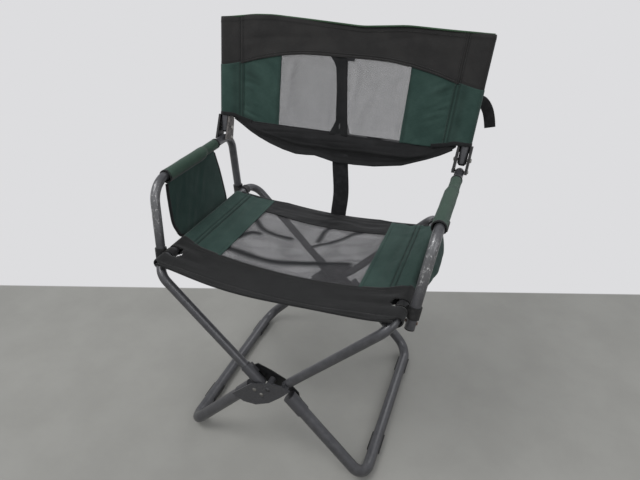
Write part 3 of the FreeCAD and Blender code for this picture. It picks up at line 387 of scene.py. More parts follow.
def settle(piece, material, how, stands_for=(), held="stretched", **more):
    """Gives a piece its finish, hides the CAD parts that it stands for, and says what it moves with."""
    piece.data.materials.append(material)
    if stands_for:
        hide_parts(*stands_for)
    if how == "seat":
        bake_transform(piece)
    elif how in ("back", "hanging"):
        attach(piece, "post_right" if how == "back" else "arm_right")
        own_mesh(piece)
    else:
        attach(piece, how)


def new_mesh(name, points, faces, uv=None):
    """A smooth mesh object from points in mm; uv has one pair in metres for each point."""
    mesh = bpy.data.meshes.new(name)
    mesh.from_pydata((np.asarray(points) * MM).tolist(), [], faces)
    if uv is not None:
        layer = mesh.uv_layers.new(name="cloth")
        corner = np.zeros(len(mesh.loops), int)
        mesh.loops.foreach_get("vertex_index", corner)
        layer.uv.foreach_set("vector", np.asarray(uv)[corner].astype(np.float32).ravel())
    mesh.polygons.foreach_set("use_smooth", [True] * len(mesh.polygons))
    mesh.update()
    piece = bpy.data.objects.new(name, mesh)
    bpy.context.scene.collection.objects.link(piece)
    return piece


def cloth(name, lay, columns, rows, lift, thick=1.6, drop=None, shade=None):
    """A sheet of fabric, with its flat size kept on the piece.

    lay(u, v) gives X, Y and Z in mm, lift(s, t, x, y, z) moves it along its normal, drop(x, y, z)
    names the faces to leave out, and shade(s, t, x, y, z) gives the painted shade that darkens folds and
    seams. rows is the places of the rows, or how many there are from 0 to 1.
    """
    rows = np.linspace(0, 1, rows) if isinstance(rows, int) else rows
    u, v = np.meshgrid(columns, rows)
    points = np.stack(np.broadcast_arrays(*lay(u, v)), axis=-1).astype(float)
    s, t = run_of(points, 1), run_of(points)
    s -= s[:, [len(columns) // 2]]
    flat = (float(np.ptp(s, axis=1).mean()) * MM, float(np.ptp(t, axis=0).mean()) * MM)
    dark = None if shade is None else unit(shade(s, t, *np.moveaxis(points, -1, 0)))
    normal = np.cross(np.gradient(points, axis=1), np.gradient(points, axis=0))
    normal /= np.linalg.norm(normal, axis=-1, keepdims=True) + 1e-9
    points = points + normal * lift(s, t, *np.moveaxis(points, -1, 0))[..., None]
    index = np.arange(u.size).reshape(u.shape)
    quads = np.stack([index[:-1, :-1], index[:-1, 1:], index[1:, 1:], index[1:, :-1]], axis=-1)
    keep = np.ones(quads.shape[:2], bool)
    if drop is not None:
        middle = (points[:-1, :-1] + points[1:, 1:]) / 2
        keep = ~drop(*np.moveaxis(middle, -1, 0))
    uv = np.stack([s, t], -1).reshape(-1, 2) * MM
    piece = new_mesh(name, points.reshape(-1, 3), quads[keep].tolist(), uv)
    if dark is not None:
        layer = piece.data.attributes.new("shade", "FLOAT", "POINT")
        layer.data.foreach_set("value", np.broadcast_to(dark, u.shape).astype(np.float32).ravel())
    if not keep.all():
        drop_loose(piece)
    solid = piece.modifiers.new("thickness", "SOLIDIFY")
    solid.thickness, solid.offset = thick * MM, 0.0
    piece["flat"] = flat
    return piece


def drop_loose(piece):
    """Removes the points that no face uses."""
    work = bmesh.new()
    work.from_mesh(piece.data)
    bmesh.ops.delete(work, geom=[v for v in work.verts if not v.link_faces], context="VERTS")
    work.to_mesh(piece.data)
    work.free()


def oval(width, height, sides=12, power=0.7):
    """A flattened round section, as (across, outward) pairs in mm."""
    angles = np.arange(sides) * 2 * pi / sides
    c, s = np.cos(angles), np.sin(angles)
    rounded = [np.sign(part) * np.abs(part) ** power for part in (c, s)]
    return np.stack(rounded, -1) * (width / 2, height / 2)


def sweep(name, path, outward, section, ring=False, widths=1.0):
    """A solid strip along a path in mm.

    outward is the section's outward direction and widths scales it sideways: each is one for all or
    one for each point.
    """
    path = np.asarray(path, float)
    outward = np.broadcast_to(np.asarray(outward, float), path.shape)
    if ring:
        tangent = np.roll(path, -1, 0) - np.roll(path, 1, 0)
    else:
        tangent = np.gradient(path, axis=0)
    tangent = tangent / np.linalg.norm(tangent, axis=1, keepdims=True)
    across = np.cross(tangent, outward)
    across /= np.linalg.norm(across, axis=1, keepdims=True)
    out = np.cross(across, tangent)
    across *= np.broadcast_to(widths, len(path))[:, None]
    points = path[:, None] + across[:, None] * section[None, :, :1] + out[:, None] * section[None, :, 1:]
    n, m = len(path), len(section)
    faces = []
    for i in range(n if ring else n - 1):
        for j in range(m):
            a, b = i * m + j, i * m + (j + 1) % m
            c, d = (i + 1) % n * m + (j + 1) % m, (i + 1) % n * m + j
            faces.append((a, b, c, d))
    if not ring:
        faces += [tuple(range(m))[::-1], tuple(range((n - 1) * m, n * m))]
    uv = np.stack(np.meshgrid(run_of(section), run_of(path)), -1).reshape(-1, 2) * MM
    return new_mesh(name, points.reshape(-1, 3), faces, uv)


def curve(points, count):
    """A smooth line through a few points, in equal steps."""
    points = np.asarray(points, float)
    ahead = np.concatenate([[2 * points[0] - points[1]], points, [2 * points[-1] - points[-2]]])
    found = []
    for i in range(len(points) - 1):
        a, b, c, d = ahead[i:i + 4]
        t = np.linspace(0, 1, 24, endpoint=i == len(points) - 2)[:, None]
        found.append(0.5 * (2 * b + (c - a) * t + (2 * a - 5 * b + 4 * c - d) * t ** 2
                            + (3 * b - a - 3 * c + d) * t ** 3))
    found = np.concatenate(found)
    run = run_of(found)
    even = np.linspace(0, run[-1], count)
    return np.stack([np.interp(even, run, part) for part in found.T], -1)


def stitches(name, lines, outward, material, how):
    """Sewing thread: one small rounded bar for each stitch along the lines."""
    pitch, half_size = 3.4, (1.15, 0.375, 0.7)
    bars, faces = [], []
    shape = np.array([(-1, -0.5, 0), (-0.55, 0, 1), (0.55, 0, 1), (1, -0.5, 0), (1, 0.5, 0), (-1, 0.5, 0),
                      (-0.55, -1, 0), (0.55, -1, 0), (-0.55, 1, 0), (0.55, 1, 0)])
    sides = [(6, 7, 2, 1), (1, 2, 9, 8), (0, 6, 1), (3, 2, 7), (3, 4, 2), (4, 9, 2), (0, 1, 5), (5, 1, 8),
             (0, 5, 8, 9, 4, 3, 7, 6)]
    for path in lines:
        run = run_of(path)
        for at in np.arange(pitch / 2, run[-1], pitch):
            last, here, ahead = (np.array([np.interp(at + move, run, part) for part in path.T])
                                 for move in (-0.5, 0.0, 0.5))
            t = (ahead - last) / (np.linalg.norm(ahead - last) + 1e-9)
            side = np.cross(t, outward)
            side /= np.linalg.norm(side)
            size = shape * half_size
            bars.append(here + size[:, :1] * t + size[:, 1:2] * side + size[:, 2:] * np.cross(side, t))
            faces += [tuple(i + len(shape) * (len(bars) - 1) for i in f) for f in sides]
    points = np.concatenate(bars)
    settle(new_mesh(name, points, faces, points[:, :2] * MM), material, how)


# ---- camera, floor and light


def stage():
    scene = bpy.context.scene
    yaw, pitch, roll = -0.354, 0.544, 0.011
    forward = Vector((sin(yaw) * cos(pitch), cos(yaw) * cos(pitch), -sin(pitch)))
    level = Vector((cos(yaw), -sin(yaw), 0))
    upright = level.cross(forward)
    right = level * cos(roll) + upright * sin(roll)
    up = upright * cos(roll) - level * sin(roll)
    camera = bpy.data.objects.new("camera", bpy.data.cameras.new("camera"))
    camera.data.sensor_width, camera.data.lens = 36.0, 28.706
    camera.matrix_world = Matrix((right, up, -forward)).transposed().to_4x4()
    camera.location = (0.3536, -0.8892, 1.0259)
    scene.collection.objects.link(camera)
    scene.camera = camera

    far = 14000
    floor = new_mesh("floor", [(-far, -far, 0), (far, -far, 0), (far, far, 0), (-far, far, 0)], [(0, 1, 2, 3)])
    s = Shader("floor_pale")
    at = s.place()
    skirting = s.math("SUBTRACT", s.split(at, "Y"), s.times(s.split(at, "X"), 0.363))
    beyond = s.span(skirting, 0.441, 0.447)
    colour = s.mix(s.span(s.noise(at, 5.0, 5.0, 0.6), 0.3, 0.7), (156, 155, 150), (163, 162, 157))
    s.finish(colour=colour, rough=0.7, specular=0.25)
    wall = s.add("BsdfDiffuse", {"Color": (205, 206, 208)})
    glow = s.add("Emission", {"Color": (221, 221, 223), "Strength": 1.0})
    rays = s.add("LightPath")
    seen = s.math("MAXIMUM", rays.outputs["Is Camera Ray"], rays.outputs["Is Glossy Ray"])
    seen = s.math("MAXIMUM", seen, rays.outputs["Is Transmission Ray"])
    pale = s.add("MixShader", {0: seen, 1: wall.outputs[0], 2: glow.outputs[0]})
    whole = s.add("MixShader", {0: beyond, 1: s.surface.outputs[0], 2: pale.outputs[0]})
    s.put(s.output.inputs["Surface"], whole.outputs[0])
    floor.data.materials.append(s.material)

    world = scene.world or bpy.data.worlds.new("studio")
    scene.world = world
    world.use_nodes = True
    background = next(n for n in world.node_tree.nodes if n.type == "BACKGROUND")
    background.inputs["Color"].default_value = srgb(236, 238, 242)
    background.inputs["Strength"].default_value = 0.62

    def lamp(name, place, aim, size, power):
        light = bpy.data.lights.new(name, "AREA")
        light.shape, light.size, light.size_y, light.energy = "RECTANGLE", *size, power
        holder = bpy.data.objects.new(name, light)
        holder.location = place
        holder.rotation_mode = "QUATERNION"
        holder.rotation_quaternion = (Vector(aim) - Vector(place)).to_track_quat("-Z", "Y")
        scene.collection.objects.link(holder)

    lamp("key", (-0.9, -1.1, 2.5), (0, 0, 0.4), (1.4, 1.0), 24)
    lamp("fill", (1.8, -1.4, 1.7), (0, 0, 0.5), (0.8, 1.2), 8)
    lamp("back", (0.4, 1.9, 2.2), (0, 0, 0.6), (1.6, 0.6), 9)
    scene.view_settings.view_transform = "Standard"


stage()

# ---- painted and plain parts


def repaint():
    """Better materials on the CAD parts that stay."""
    finishes = {
        "seat_loop": PAINT, "base_loop": PAINT, "arm_loop": ARM_PAINT, "back_post": PAINT,
        "hub_outer_bracket": BRACKET, "hub_inner_bracket": BRACKET_DARK, "hub_rivet": RIVET_DARK,
        "hub_spacer": BRACKET_DARK, "hub_plate_rivets": RIVET_GREY, "foot_pad": PLASTIC,
        "arm_knuckle": PLASTIC, "arm_foot_rivet": RIVET, "arm_foot_plugs": PLASTIC,
        "hinge_channel": CHANNEL, "hinge_channel_rivets": RIVET, "hinge_pin": RIVET,
        "back_post_cap": PLASTIC, "arm_foot_rivet_right": RUST,
    }
    for name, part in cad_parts.items():
        fits = [key for key in finishes if name.startswith(key)]
        if fits:
            for place in part.material_slots:
                place.material = finishes[max(fits, key=len)]


repaint()

# ---- the seat


def seat_height(x, y):
    """The middle of the seat's fabric: it hangs between the rails, less at the front hem."""
    slack = SEAT_SAG - FRONT_LIFT * unit((BAND_REAR - y) / (BAND_REAR - SEAT_FRONT)) ** 1.5
    return SEAT_TOP - slack * unit(1 - (x / RAIL_X) ** 2)


WRAP_FROM = radians(103)  # where the seat's cloth meets a rail, round it from its outer side
TOP_EDGE_X = RAIL_X + WRAP * cos(WRAP_FROM)


def rail_wrap(q):
    """Round a rail from the top of the seat, and back under it to the seam: (X, Z) for q from 0 to 1."""
    turn, seam = radians(228), (221, 455)
    q = unit(q)
    angle = WRAP_FROM - turn * np.minimum(q / 0.7, 1)
    x, z = RAIL_X + WRAP * np.cos(angle), RAIL_Z + WRAP * np.sin(angle)
    rest = unit((q - 0.7) / 0.3)
    return x + (seam[0] - x) * rest, z + (seam[1] - z) * rest


def seat_line(w, y):
    """A point of the seat's cloth: |w| up to 1 is the top, from the middle to a rail; up to 2 is the wrap."""
    side = np.sign(w)
    size = np.abs(w)
    x_top = unit(size) * TOP_EDGE_X
    x_wrap, z_wrap = rail_wrap(size - 1)
    over = size > 1
    return side * np.where(over, x_wrap, x_top), np.where(over, z_wrap, seat_height(x_top, y))


def rear_edge(x):
    """Y of the rear hem, which runs forward towards the rails."""
    size = np.abs(x)
    return np.interp(size, [0, 120, 150, 205, 244], [153, 152, 145, 137, 131])


# Where the slack net lies in folds: width and strength, then X and Y along each fold
NET_FOLDS = [
    (9, 1, [(-154, -89), (-115, -90), (-61, -91), (4, -74), (44, -60), (85, -52), (104, -48)]),
    (6.5, 0.9, [(-153, -38), (-138, -10), (-121, -4)]),
    (7, 0.95, [(-149, 43), (-124, 19), (-90, 9), (-51, 11)]),
    (6, 0.9, [(12, 23), (11, 66), (16, 89)]),
    (6, 0.95, [(11, 0), (53, 42), (77, 77), (92, 89)]),
    (7, 0.6, [(-153, 86), (-155, 60)]),
]


def front_wave(x):
    """How far the front hem lies behind a straight line."""
    return 3 * np.sin(x / 52) * step(APRON_END - np.abs(x), 0, 60)


def net_folds(x, y):
    return unit(sum(share * near_line(x, y, line, width) for width, share, line in NET_FOLDS))


def seat_side(side, word):
    """The green strip from the net round a rail."""
    inner = (MESH_HALF - 4) / TOP_EDGE_X
    widths = np.concatenate([np.linspace(inner, 1, 46)[:-1], np.linspace(1, 2, 30)]) * side
    widths = widths[::side]

    def lay(u, v):
        x, z = seat_line(u, 0)
        front = BAND_REAR - 3 + 14 * step(np.abs(x), 190, APRON_END)
        rear = rear_edge(x)
        return x, front + (rear - front) * v, z

    def lift(s, t, x, y, z):
        size = np.abs(x)
        top = step(z, 446, 456)
        sewn = bell(size, SEAT_SEAMS[0], 1.5) + bell(size, SEAT_SEAMS[1], 1.5)
        hem = step(y, 120, 124) * 0.5 + step(size, 158.5, 156) * 0.5
        folds = crumple(x, y, (1.1, 88 - 14 * side, 17, 95, 3 + side), (0.7, 35 * side, 26, 60, 9))
        channel = -1.6 * bell(size, 190 + 6 * np.sin(y / 60), 9)
        return top * (folds * step(248 - size, 0, 30) + channel) - sewn * 1.2 + hem

    # painted shade along the double seams and in the channel beside the net
    def shade(s, t, x, y, z):
        size = np.abs(x)
        seams = 0.8 * bell(size, SEAT_SEAMS[0] + 1, 2.4) + 0.7 * bell(size, SEAT_SEAMS[1] + 0.5, 2)
        return step(z, 446, 456) * (seams + 0.2 * bell(size, 191, 9))

    settle(cloth(f"seat_strip_{word}", lay, widths, 100, lift, shade=shade), GREEN, "seat",
           [f"seat_side_{word}"], rests_on=[f"seat_loop_{word}"])


def seat_middle():
    """The black apron in front, the net, and the black band behind it."""
    rows = [np.linspace(SEAT_FRONT, SLIT[0], 22), np.linspace(*SLIT, 12), np.linspace(SLIT[1], BAND_REAR, 17)]
    front_rows = np.unique(np.concatenate(rows))
    half = np.concatenate([np.linspace(0, 1, 90)[:-1], np.linspace(1, 2, 30)])
    columns = np.concatenate([-half[:0:-1], half])

    def lay_front(u, v):
        x, z = seat_line(u, v)
        share = (v - SEAT_FRONT) / (BAND_REAR - SEAT_FRONT)
        size = np.abs(x)
        wave = front_wave(x) + 13 * step(size, 226, APRON_END)
        return x, v + 15 * step(size, 190, APRON_END) * share + wave * (1 - share), z

    def lift_front(s, t, x, y, z):
        size = np.abs(x)
        top = step(z, 440, 452)
        sewn = bell(y, APRON_SEAM, 1.3)
        for seam in SEAT_SEAMS:
            sewn = sewn + bell(size, seam, 1.5) * 0.6
        folds = crumple(x, y, (1.5, 4, 22, 130, 21), (1.1, -24, 30, 90, 25))
        pull = 1.5 * bell(y, -165, 26) * step(size, 150, 225) * np.sin((y + 165) / 6)
        ends = step(APRON_END - size, 0, 24)
        return top * ends * (folds + pull) - sewn * 0.7 + 0.5 * step(APRON_SEAM - y, 0, 2)

    def slit(x, y, z):
        wider = np.where(x < 0, 8, 0)
        inner = SLIT_X - wider - 6 * bell(y, sum(SLIT) / 2, 9)
        return (np.abs(x) > inner) & (y > SLIT[0] + 1 - wider / 2) & (y < SLIT[1] - 1 + wider / 2)

    settle(cloth("seat_apron", lay_front, columns, front_rows, lift_front, thick=1.9, drop=slit),
           BLACK_SEAT, "seat", ["seat_front_band"], rests_on=["seat_loop_left", "seat_loop_right"])

    def lay_net(u, v):
        x, y = u * (MESH_HALF + 1), BAND_REAR - 2 + (MESH_REAR - BAND_REAR + 6) * v
        return x, y, seat_height(x, y) - 1.7 + 0 * v

    def lift_net(s, t, x, y, z):
        edge = step(MESH_HALF - np.abs(x), 0, 30) * step(y - BAND_REAR, 0, 22) * step(MESH_REAR - y, 0, 22)
        waves = crumple(x, y, (1.6, 24, 34, 120, 41), (1.4, -38, 46, 150, 47))
        return -np.abs(waves) * edge - 1.2 * edge + 3.5 * edge * net_folds(x, y)

    # painted shade on the seat net: along its folds, its rims at the seams, and a faint crease pattern
    def shade_net(s, t, x, y, z):
        rims = 0.25 * (bell(np.abs(x), MESH_HALF, 7) + bell(y, BAND_REAR, 7) + bell(y, MESH_REAR, 7))
        crease_shade = 0.16 * step(creases(x, y, 12, 60, 90, 52), -0.1, 0.7)
        return 0.97 * net_folds(x, y) + rims + crease_shade

    settle(cloth("seat_net", lay_net, np.linspace(-1, 1, 150), 110, lift_net, thick=0.5, shade=shade_net),
           SEAT_NET, "seat", ["seat_mesh"])

    def lay_rear(u, v):
        x = u * MESH_HALF
        return x, MESH_REAR + (rear_edge(x) - MESH_REAR) * v, seat_height(x, 0 * x) - 0.3 + 0 * v

    def lift_rear(s, t, x, y, z):
        folds = crumple(x, y, (1.4, 3, 18, 110, 61), (0.8, 20, 24, 60, 64))
        folds = folds * step(MESH_HALF - np.abs(x), 0, 20)
        return folds - 0.7 * bell(y, MESH_REAR + 4, 1.4) + 0.5 * step(y, 140, 143)

    settle(cloth("seat_back_band", lay_rear, np.linspace(-1, 1, 110), 26, lift_rear, thick=1.8),
           BLACK_LOW, "seat", ["seat_rear_band"])


def on_seat(x, y, over=0):
    x, y = np.broadcast_arrays(x, y)
    return np.stack([x, y, seat_height(x, y) + over], -1)


def seat_trim():
    """Bindings and sewing on the seat."""
    up = (0, 0, 1)
    x = np.linspace(-236, 236, 160)
    edge = on_seat(x, rear_edge(x) + 1, -0.4)
    settle(sweep("seat_rear_binding", edge, up, oval(8.5, 3.8)), BINDING, "seat")
    x = np.linspace(-238, 238, 160)
    front = on_seat(x, SEAT_FRONT)
    front[:, 1] += front_wave(x)
    settle(sweep("seat_front_hem", front, up, oval(5, 4.2)), BLACK_SEAT, "seat")
    for side, word in SIDES:
        lines = [on_seat(side * at, np.linspace(BAND_REAR + 8, rear_edge(at) - 4, 60), 0.5)
                 for at in SEAT_SEAMS]
        lines.append(on_seat(side * 157, np.linspace(BAND_REAR + 3, 140, 60), 1))
        stitches(f"seat_stitches_{word}", lines, up, THREAD_GREEN, "seat")
    x = np.linspace(-205, 205, 180)
    lines = [on_seat(x, at, 1) for at in (BAND_REAR - 4, BAND_REAR - 9, APRON_SEAM)]
    stitches("seat_apron_stitches", lines, up, THREAD_BLACK, "seat")


for side, word in SIDES:
    seat_side(side, word)
seat_middle()
seat_trim()

# ---- the back


def on_back(x, up, behind):
    """The row frame's mm for a place on the leaning back."""
    return (x + 0 * up, PIN_Y + up * sin(RECLINE) + behind * cos(RECLINE),
            PIN_Z + up * cos(RECLINE) - behind * sin(RECLINE))


POCKET = 2 * POCKET_FACE + WRAP * (pi + 2 * asin(WRAP / SEAM_IN))
FRONT_SHARE = POCKET_FACE / POCKET
WHOLE = SEAM_AT + POCKET


def pocket(d, up):
    """Past the double seam and round a post, for d mm along the cloth: (X from the seam, behind)."""
    radius = WRAP * np.sqrt(np.clip(1 - (np.clip(up - POST_TOP + 2, 0, 14) / 14.5) ** 2, 0.02, 1))
    lean = np.arcsin(radius / SEAM_IN)
    straight = np.sqrt(SEAM_IN ** 2 - radius ** 2)
    share = np.clip(d, 0, POCKET) / POCKET
    first, last = FRONT_SHARE, 1 - FRONT_SHARE
    out = unit(share / first)
    back = unit((share - last) / first)
    angle = -pi / 2 - lean + unit((share - first) / (last - first)) * (pi + 2 * lean)
    wide, deep = straight * np.cos(lean), straight * np.sin(lean)
    x = np.where(share > last, wide * (1 - back), SEAM_IN + radius * np.cos(angle))
    behind = np.where(share > last, deep * (1 - back) + 2.2 * back, radius * np.sin(angle))
    return np.where(share < first, wide * out, x), np.where(share < first, -deep * out, behind)


def seam_x(up):
    """X of the double seam beside the right post."""
    return PIN_X + up * tan(FLARE) - SEAM_IN


def back_line(c, up):
    """A point of the back's cloth at c mm from the middle along it: (X, behind)."""
    seam = seam_x(up)
    size = np.abs(c)
    x, behind = pocket(size - SEAM_AT, up)
    past = size > SEAM_AT
    return np.sign(c) * np.where(past, seam + x, size * seam / SEAM_AT), np.where(past, behind, 0)


def outer(c):
    """The nearest X that a place on the cloth stands for, along the front."""
    return np.sign(c) * np.minimum(np.abs(c), SEAM_AT + SEAM_IN)


def top_edge(x):
    return np.interp(x, [-306, -262, -221, -175, -87, 35, 130, 215, 306],
                     [246, 250, 256, 257.5, 253, 246, 253, 250, 248])


def top_edge_smooth(x):
    """The top edge without its corners."""
    return sum(top_edge(x + shift) for shift in (-12, -6, 0, 6, 12)) / 5


def top_seam(x):
    return np.interp(np.abs(x), [0, 60, 100, 150, 200, 243, 290], [185, 185, 183.5, 177, 166, 153, 142])


def low_edge(x):
    return np.interp(np.abs(x), [0, 215, 240, 262, 290], [LOW_SEAM, LOW_SEAM, 24, HEM_UP, HEM_UP])


def low_hem(x):
    return np.interp(
        x, [-266, -240, -215, -190, -162, -128, -95, -70, -48, -24, 0, 48, 95, 156, 209, 235, 259, 266],
        [28, 14, -0.5, -12, -22.5, -32, -38, -37, -35, -39, -43.5, -43, -40, -29, -8, 4, 18, 24])


def low_fold(x):
    """Where the slack lower band folds, along its length."""
    return low_hem(x) * 0.45 + 3 + 3 * np.sin(x / 40)


def smooth(values, width):
    """A line of numbers without its corners."""
    kernel = np.hanning(width + 2)[1:-1]
    padded = np.concatenate([[values[0]] * width, values, [values[-1]] * width])
    return np.convolve(padded, kernel / kernel.sum(), "same")[width:-width]


def back_sheet(name, places, low, high, rows, lift, behind, thick=1.6, shade=None):
    """A piece of the back between two edges, which are given for each place along the cloth.

    Its depth behind the post's plane fades out where it goes round a post.
    """
    low, high = smooth(low(outer(places)), 9), smooth(high(outer(places)), 9)
    offset = behind * step(SEAM_AT + 26 - np.abs(places), 0, 22)

    def lay(u, v):
        which = np.searchsorted(places, u)
        up = low[which] + (high[which] - low[which]) * v
        x, depth = back_line(u, up)
        return on_back(x, up, depth + offset[which])

    return cloth(name, lay, places, rows, lift, thick, shade=shade)


def sleeve_places(side):
    """Places along the cloth of a post's sleeve, from its lap over the middle to the seam behind."""
    places = np.concatenate([np.linspace(SEAM_AT - LAP, SEAM_AT, 7)[:-1], np.linspace(SEAM_AT, WHOLE, 46)])
    return (places * side)[::side]


def up_of(y, z):
    return (y - PIN_Y) * sin(RECLINE) + (z - PIN_Z) * cos(RECLINE)


def past_seam(x, up):
    """How far a place lies outward of the double seam beside a post, in mm."""
    return np.abs(x) - seam_x(up)


def double_seam(past, width):
    return bell(past, -4.5, width) + bell(past, 3.5, width)


def head_sway(x):
    """How far the top edge bows to the front, in mm."""
    return 2 * np.sin(x / 95 + 0.6)


def back_head():
    """The black band along the top, and its sleeves over the posts."""

    def lift_top(s, t, x, y, z):
        up = up_of(y, z)
        past = past_seam(x, up)
        flat = step(-past, 0, 16)
        folds = crumple(x, up, (1.2, 8, 30, 170, 71), (0.9, -30, 40, 110, 74))
        sewn = double_seam(past, 1.4)
        hems = bell(up, top_edge(x) - 9, 1.3) + bell(up, top_seam(x) + 5, 1.2)
        sway = head_sway(x) * step(up, 190, 250)
        calm = step(up - top_seam(x), 2, 24)
        return -(flat * folds * calm + sway * flat - 0.9 * sewn - 0.6 * hems)

    # painted shade in the double seam and along the hem and seam lines
    def shade_top(s, t, x, y, z):
        up = up_of(y, z)
        hems = 0.6 * bell(up, top_edge(x) - 9, 1.6) + 0.5 * bell(up, top_seam(x) + 5, 1.8)
        return 0.6 * double_seam(past_seam(x, up), 2) + hems

    def head_sheet(name, places, lift):
        return back_sheet(name, places, lambda x: top_seam(x) - 3, top_edge, 40, lift, -2, 1.8, shade_top)

    top = head_sheet("back_head_band", np.linspace(-SEAM_AT - 1, SEAM_AT + 1, 194), lift_top)
    settle(top, BLACK, "back", ["back_top_band"])
    for side, word in SIDES:
        sleeve = head_sheet(f"back_head_sleeve_{word}", sleeve_places(side), lambda *at: lift_top(*at) - 1.1)
        settle(sleeve, BLACK, f"post_{word}", ["back_top_band"], rests_on=[f"back_post_{word}"])


def back_side(side, word):
    """A green panel with its sleeve over a post, and half of the net."""

    def pulls(x, up):
        """Creases in the green panel that run to the double seam."""
        size = np.abs(x)
        return creases(x, up - 0.35 * (size - 243), 4, 15, 70, 81 + side) * step(size, 165, 232)

    def lift_side(s, t, x, y, z):
        up, size = up_of(y, z), np.abs(x)
        flat = step(246 - size, 0, 14) * step(size, 146, 158)
        soft = creases(x, up, 52 * side, 34, 90, 85 + side)
        below = step(top_seam(x) - up, 0, 16)
        shape = flat * (pulls(x, up) * 2.6 + soft * 2.2) * below
        past = past_seam(x, up)
        puff = 1.2 * bell(past, 18, 10) * np.sin(up / 9 + side) * below
        return -(shape + puff - 1.3 * double_seam(past, 1.5))

    # painted shade: in the double seam, in the crease valleys, in a band between the seam and the post, and
    # along the net's seam
    def shade_side(s, t, x, y, z):
        up = up_of(y, z)
        past = past_seam(x, up)
        valleys = 0.4 * step(-pulls(x, up), 0, 0.9) * step(-past, 0, 16)
        return (0.8 * double_seam(past, 2.1) + valleys + 0.4 * bell(past, 14, 9)
                + 0.35 * bell(np.abs(x), BACK_MESH_HALF + 1, 3))

    def foot(x):
        return low_edge(x) - 1

    def head(x):
        return top_seam(x) + 1

    places = (np.linspace(BACK_MESH_HALF - 4, SEAM_AT + 1, 45) * side)[::side]
    panel = back_sheet(f"back_panel_{word}", places, foot, head, 54, lift_side, 0, shade=shade_side)
    settle(panel, GREEN, "back", [f"back_side_{word}"])
    sleeve = back_sheet(f"back_sleeve_{word}", sleeve_places(side), foot, head, 54, lift_side, -1,
                        shade=shade_side)
    settle(sleeve, GREEN, f"post_{word}", [f"back_side_{word}"], rests_on=[f"back_post_{word}"])

    def lift_net(s, t, x, y, z):
        up, size = up_of(y, z), np.abs(x)
        edge = step(148 - size, 0, 20) * step(size, 12, 30) * step(up, 18, 40) * step(176 - up, 0, 20)
        return -edge * (creases(x, up, 80, 40, 130, 95) * 1.2 + 0.8)

    places = (np.linspace(1, BACK_MESH_HALF + 1, 52) * side)[::side]
    net = back_sheet(f"back_net_{word}", places, lambda x: low_edge(x) - 2, lambda x: top_seam(x) + 3,
                     44, lift_net, 1.4, 0.5)
    settle(net, BACK_NET, "back", [f"back_mesh_{word}"])


def back_middle():
    """The strip down the middle and the slack band below."""

    def strip_lay(u, v):
        up = LOW_SEAM - 3 + (188 - LOW_SEAM) * v
        left = np.interp(up, [16, 24, 33, 48, 115, 160, 172, 184], [-19, -15, -11, -5, -10, -16, -22, -33])
        right = np.interp(up, [16, 31, 54, 115, 174], [25, 23, 21, 14, 7])
        return on_back((left + right) / 2 + (right - left) / 2 * u, up, -0.9)

    def strip_lift(s, t, x, y, z):
        up = up_of(y, z)
        folds = creases(x, up, 88, 7, 60, 101) * 0.6
        return -(2 * step(13 - np.abs(s), 0, 11) + folds + 1.2 * bell(up, 40, 18))

    settle(cloth("back_middle_strip", strip_lay, np.linspace(-1, 1, 16), 70, strip_lift, thick=2),
           BINDING, "back", ["back_centre_strip"])

    def low_lay(u, v):
        x = u * LOW_HALF
        high, low = low_edge(x) + 3, low_hem(x)
        return on_back(x, low + (high - low) * v, -1.1)

    def low_lift(s, t, x, y, z):
        up = up_of(y, z)
        share = (up - LOW_MIDDLE) / 62
        inside = step(252 - np.abs(x), 0, 40) * step(up - low_hem(x), 0, 12)
        swell = 3.4 * np.sin(unit(share) * pi * 2.2 + x / 210)
        trench = 3.2 * bell(up, low_fold(x), 3.5) * step(230 - np.abs(x), 0, 50)
        folds = swell + creases(x, up, 3, 12, 120, 111) * 1.6 + creases(x, up, -14, 20, 80, 114) * 0.9
        return -inside * folds + inside * trench + 0.7 * bell(up, low_edge(x) - 2, 1.3)

    # painted shade along the band's deep fold and along a line above the hem
    def shade_low(s, t, x, y, z):
        up = up_of(y, z)
        fold_shade = 0.8 * bell(up, low_fold(x), 3) * step(230 - np.abs(x), 0, 50)
        return fold_shade + 0.6 * bell(up, low_hem(x) + 9, 1.8)

    settle(cloth("back_low_band", low_lay, np.linspace(-1, 1, 170), 40, low_lift, thick=1.8, shade=shade_low),
           BLACK_LOW, "back", ["back_lower_band"], "hung")


def along_back(xs, ups, behind):
    return np.stack(on_back(xs, ups, behind), -1)


def strap(name, path, width, outward, widths=1, how="back", **more):
    settle(sweep(name, path, outward, oval(width, 1.8, 16, 0.35), widths=widths), WEBBING, how, **more)


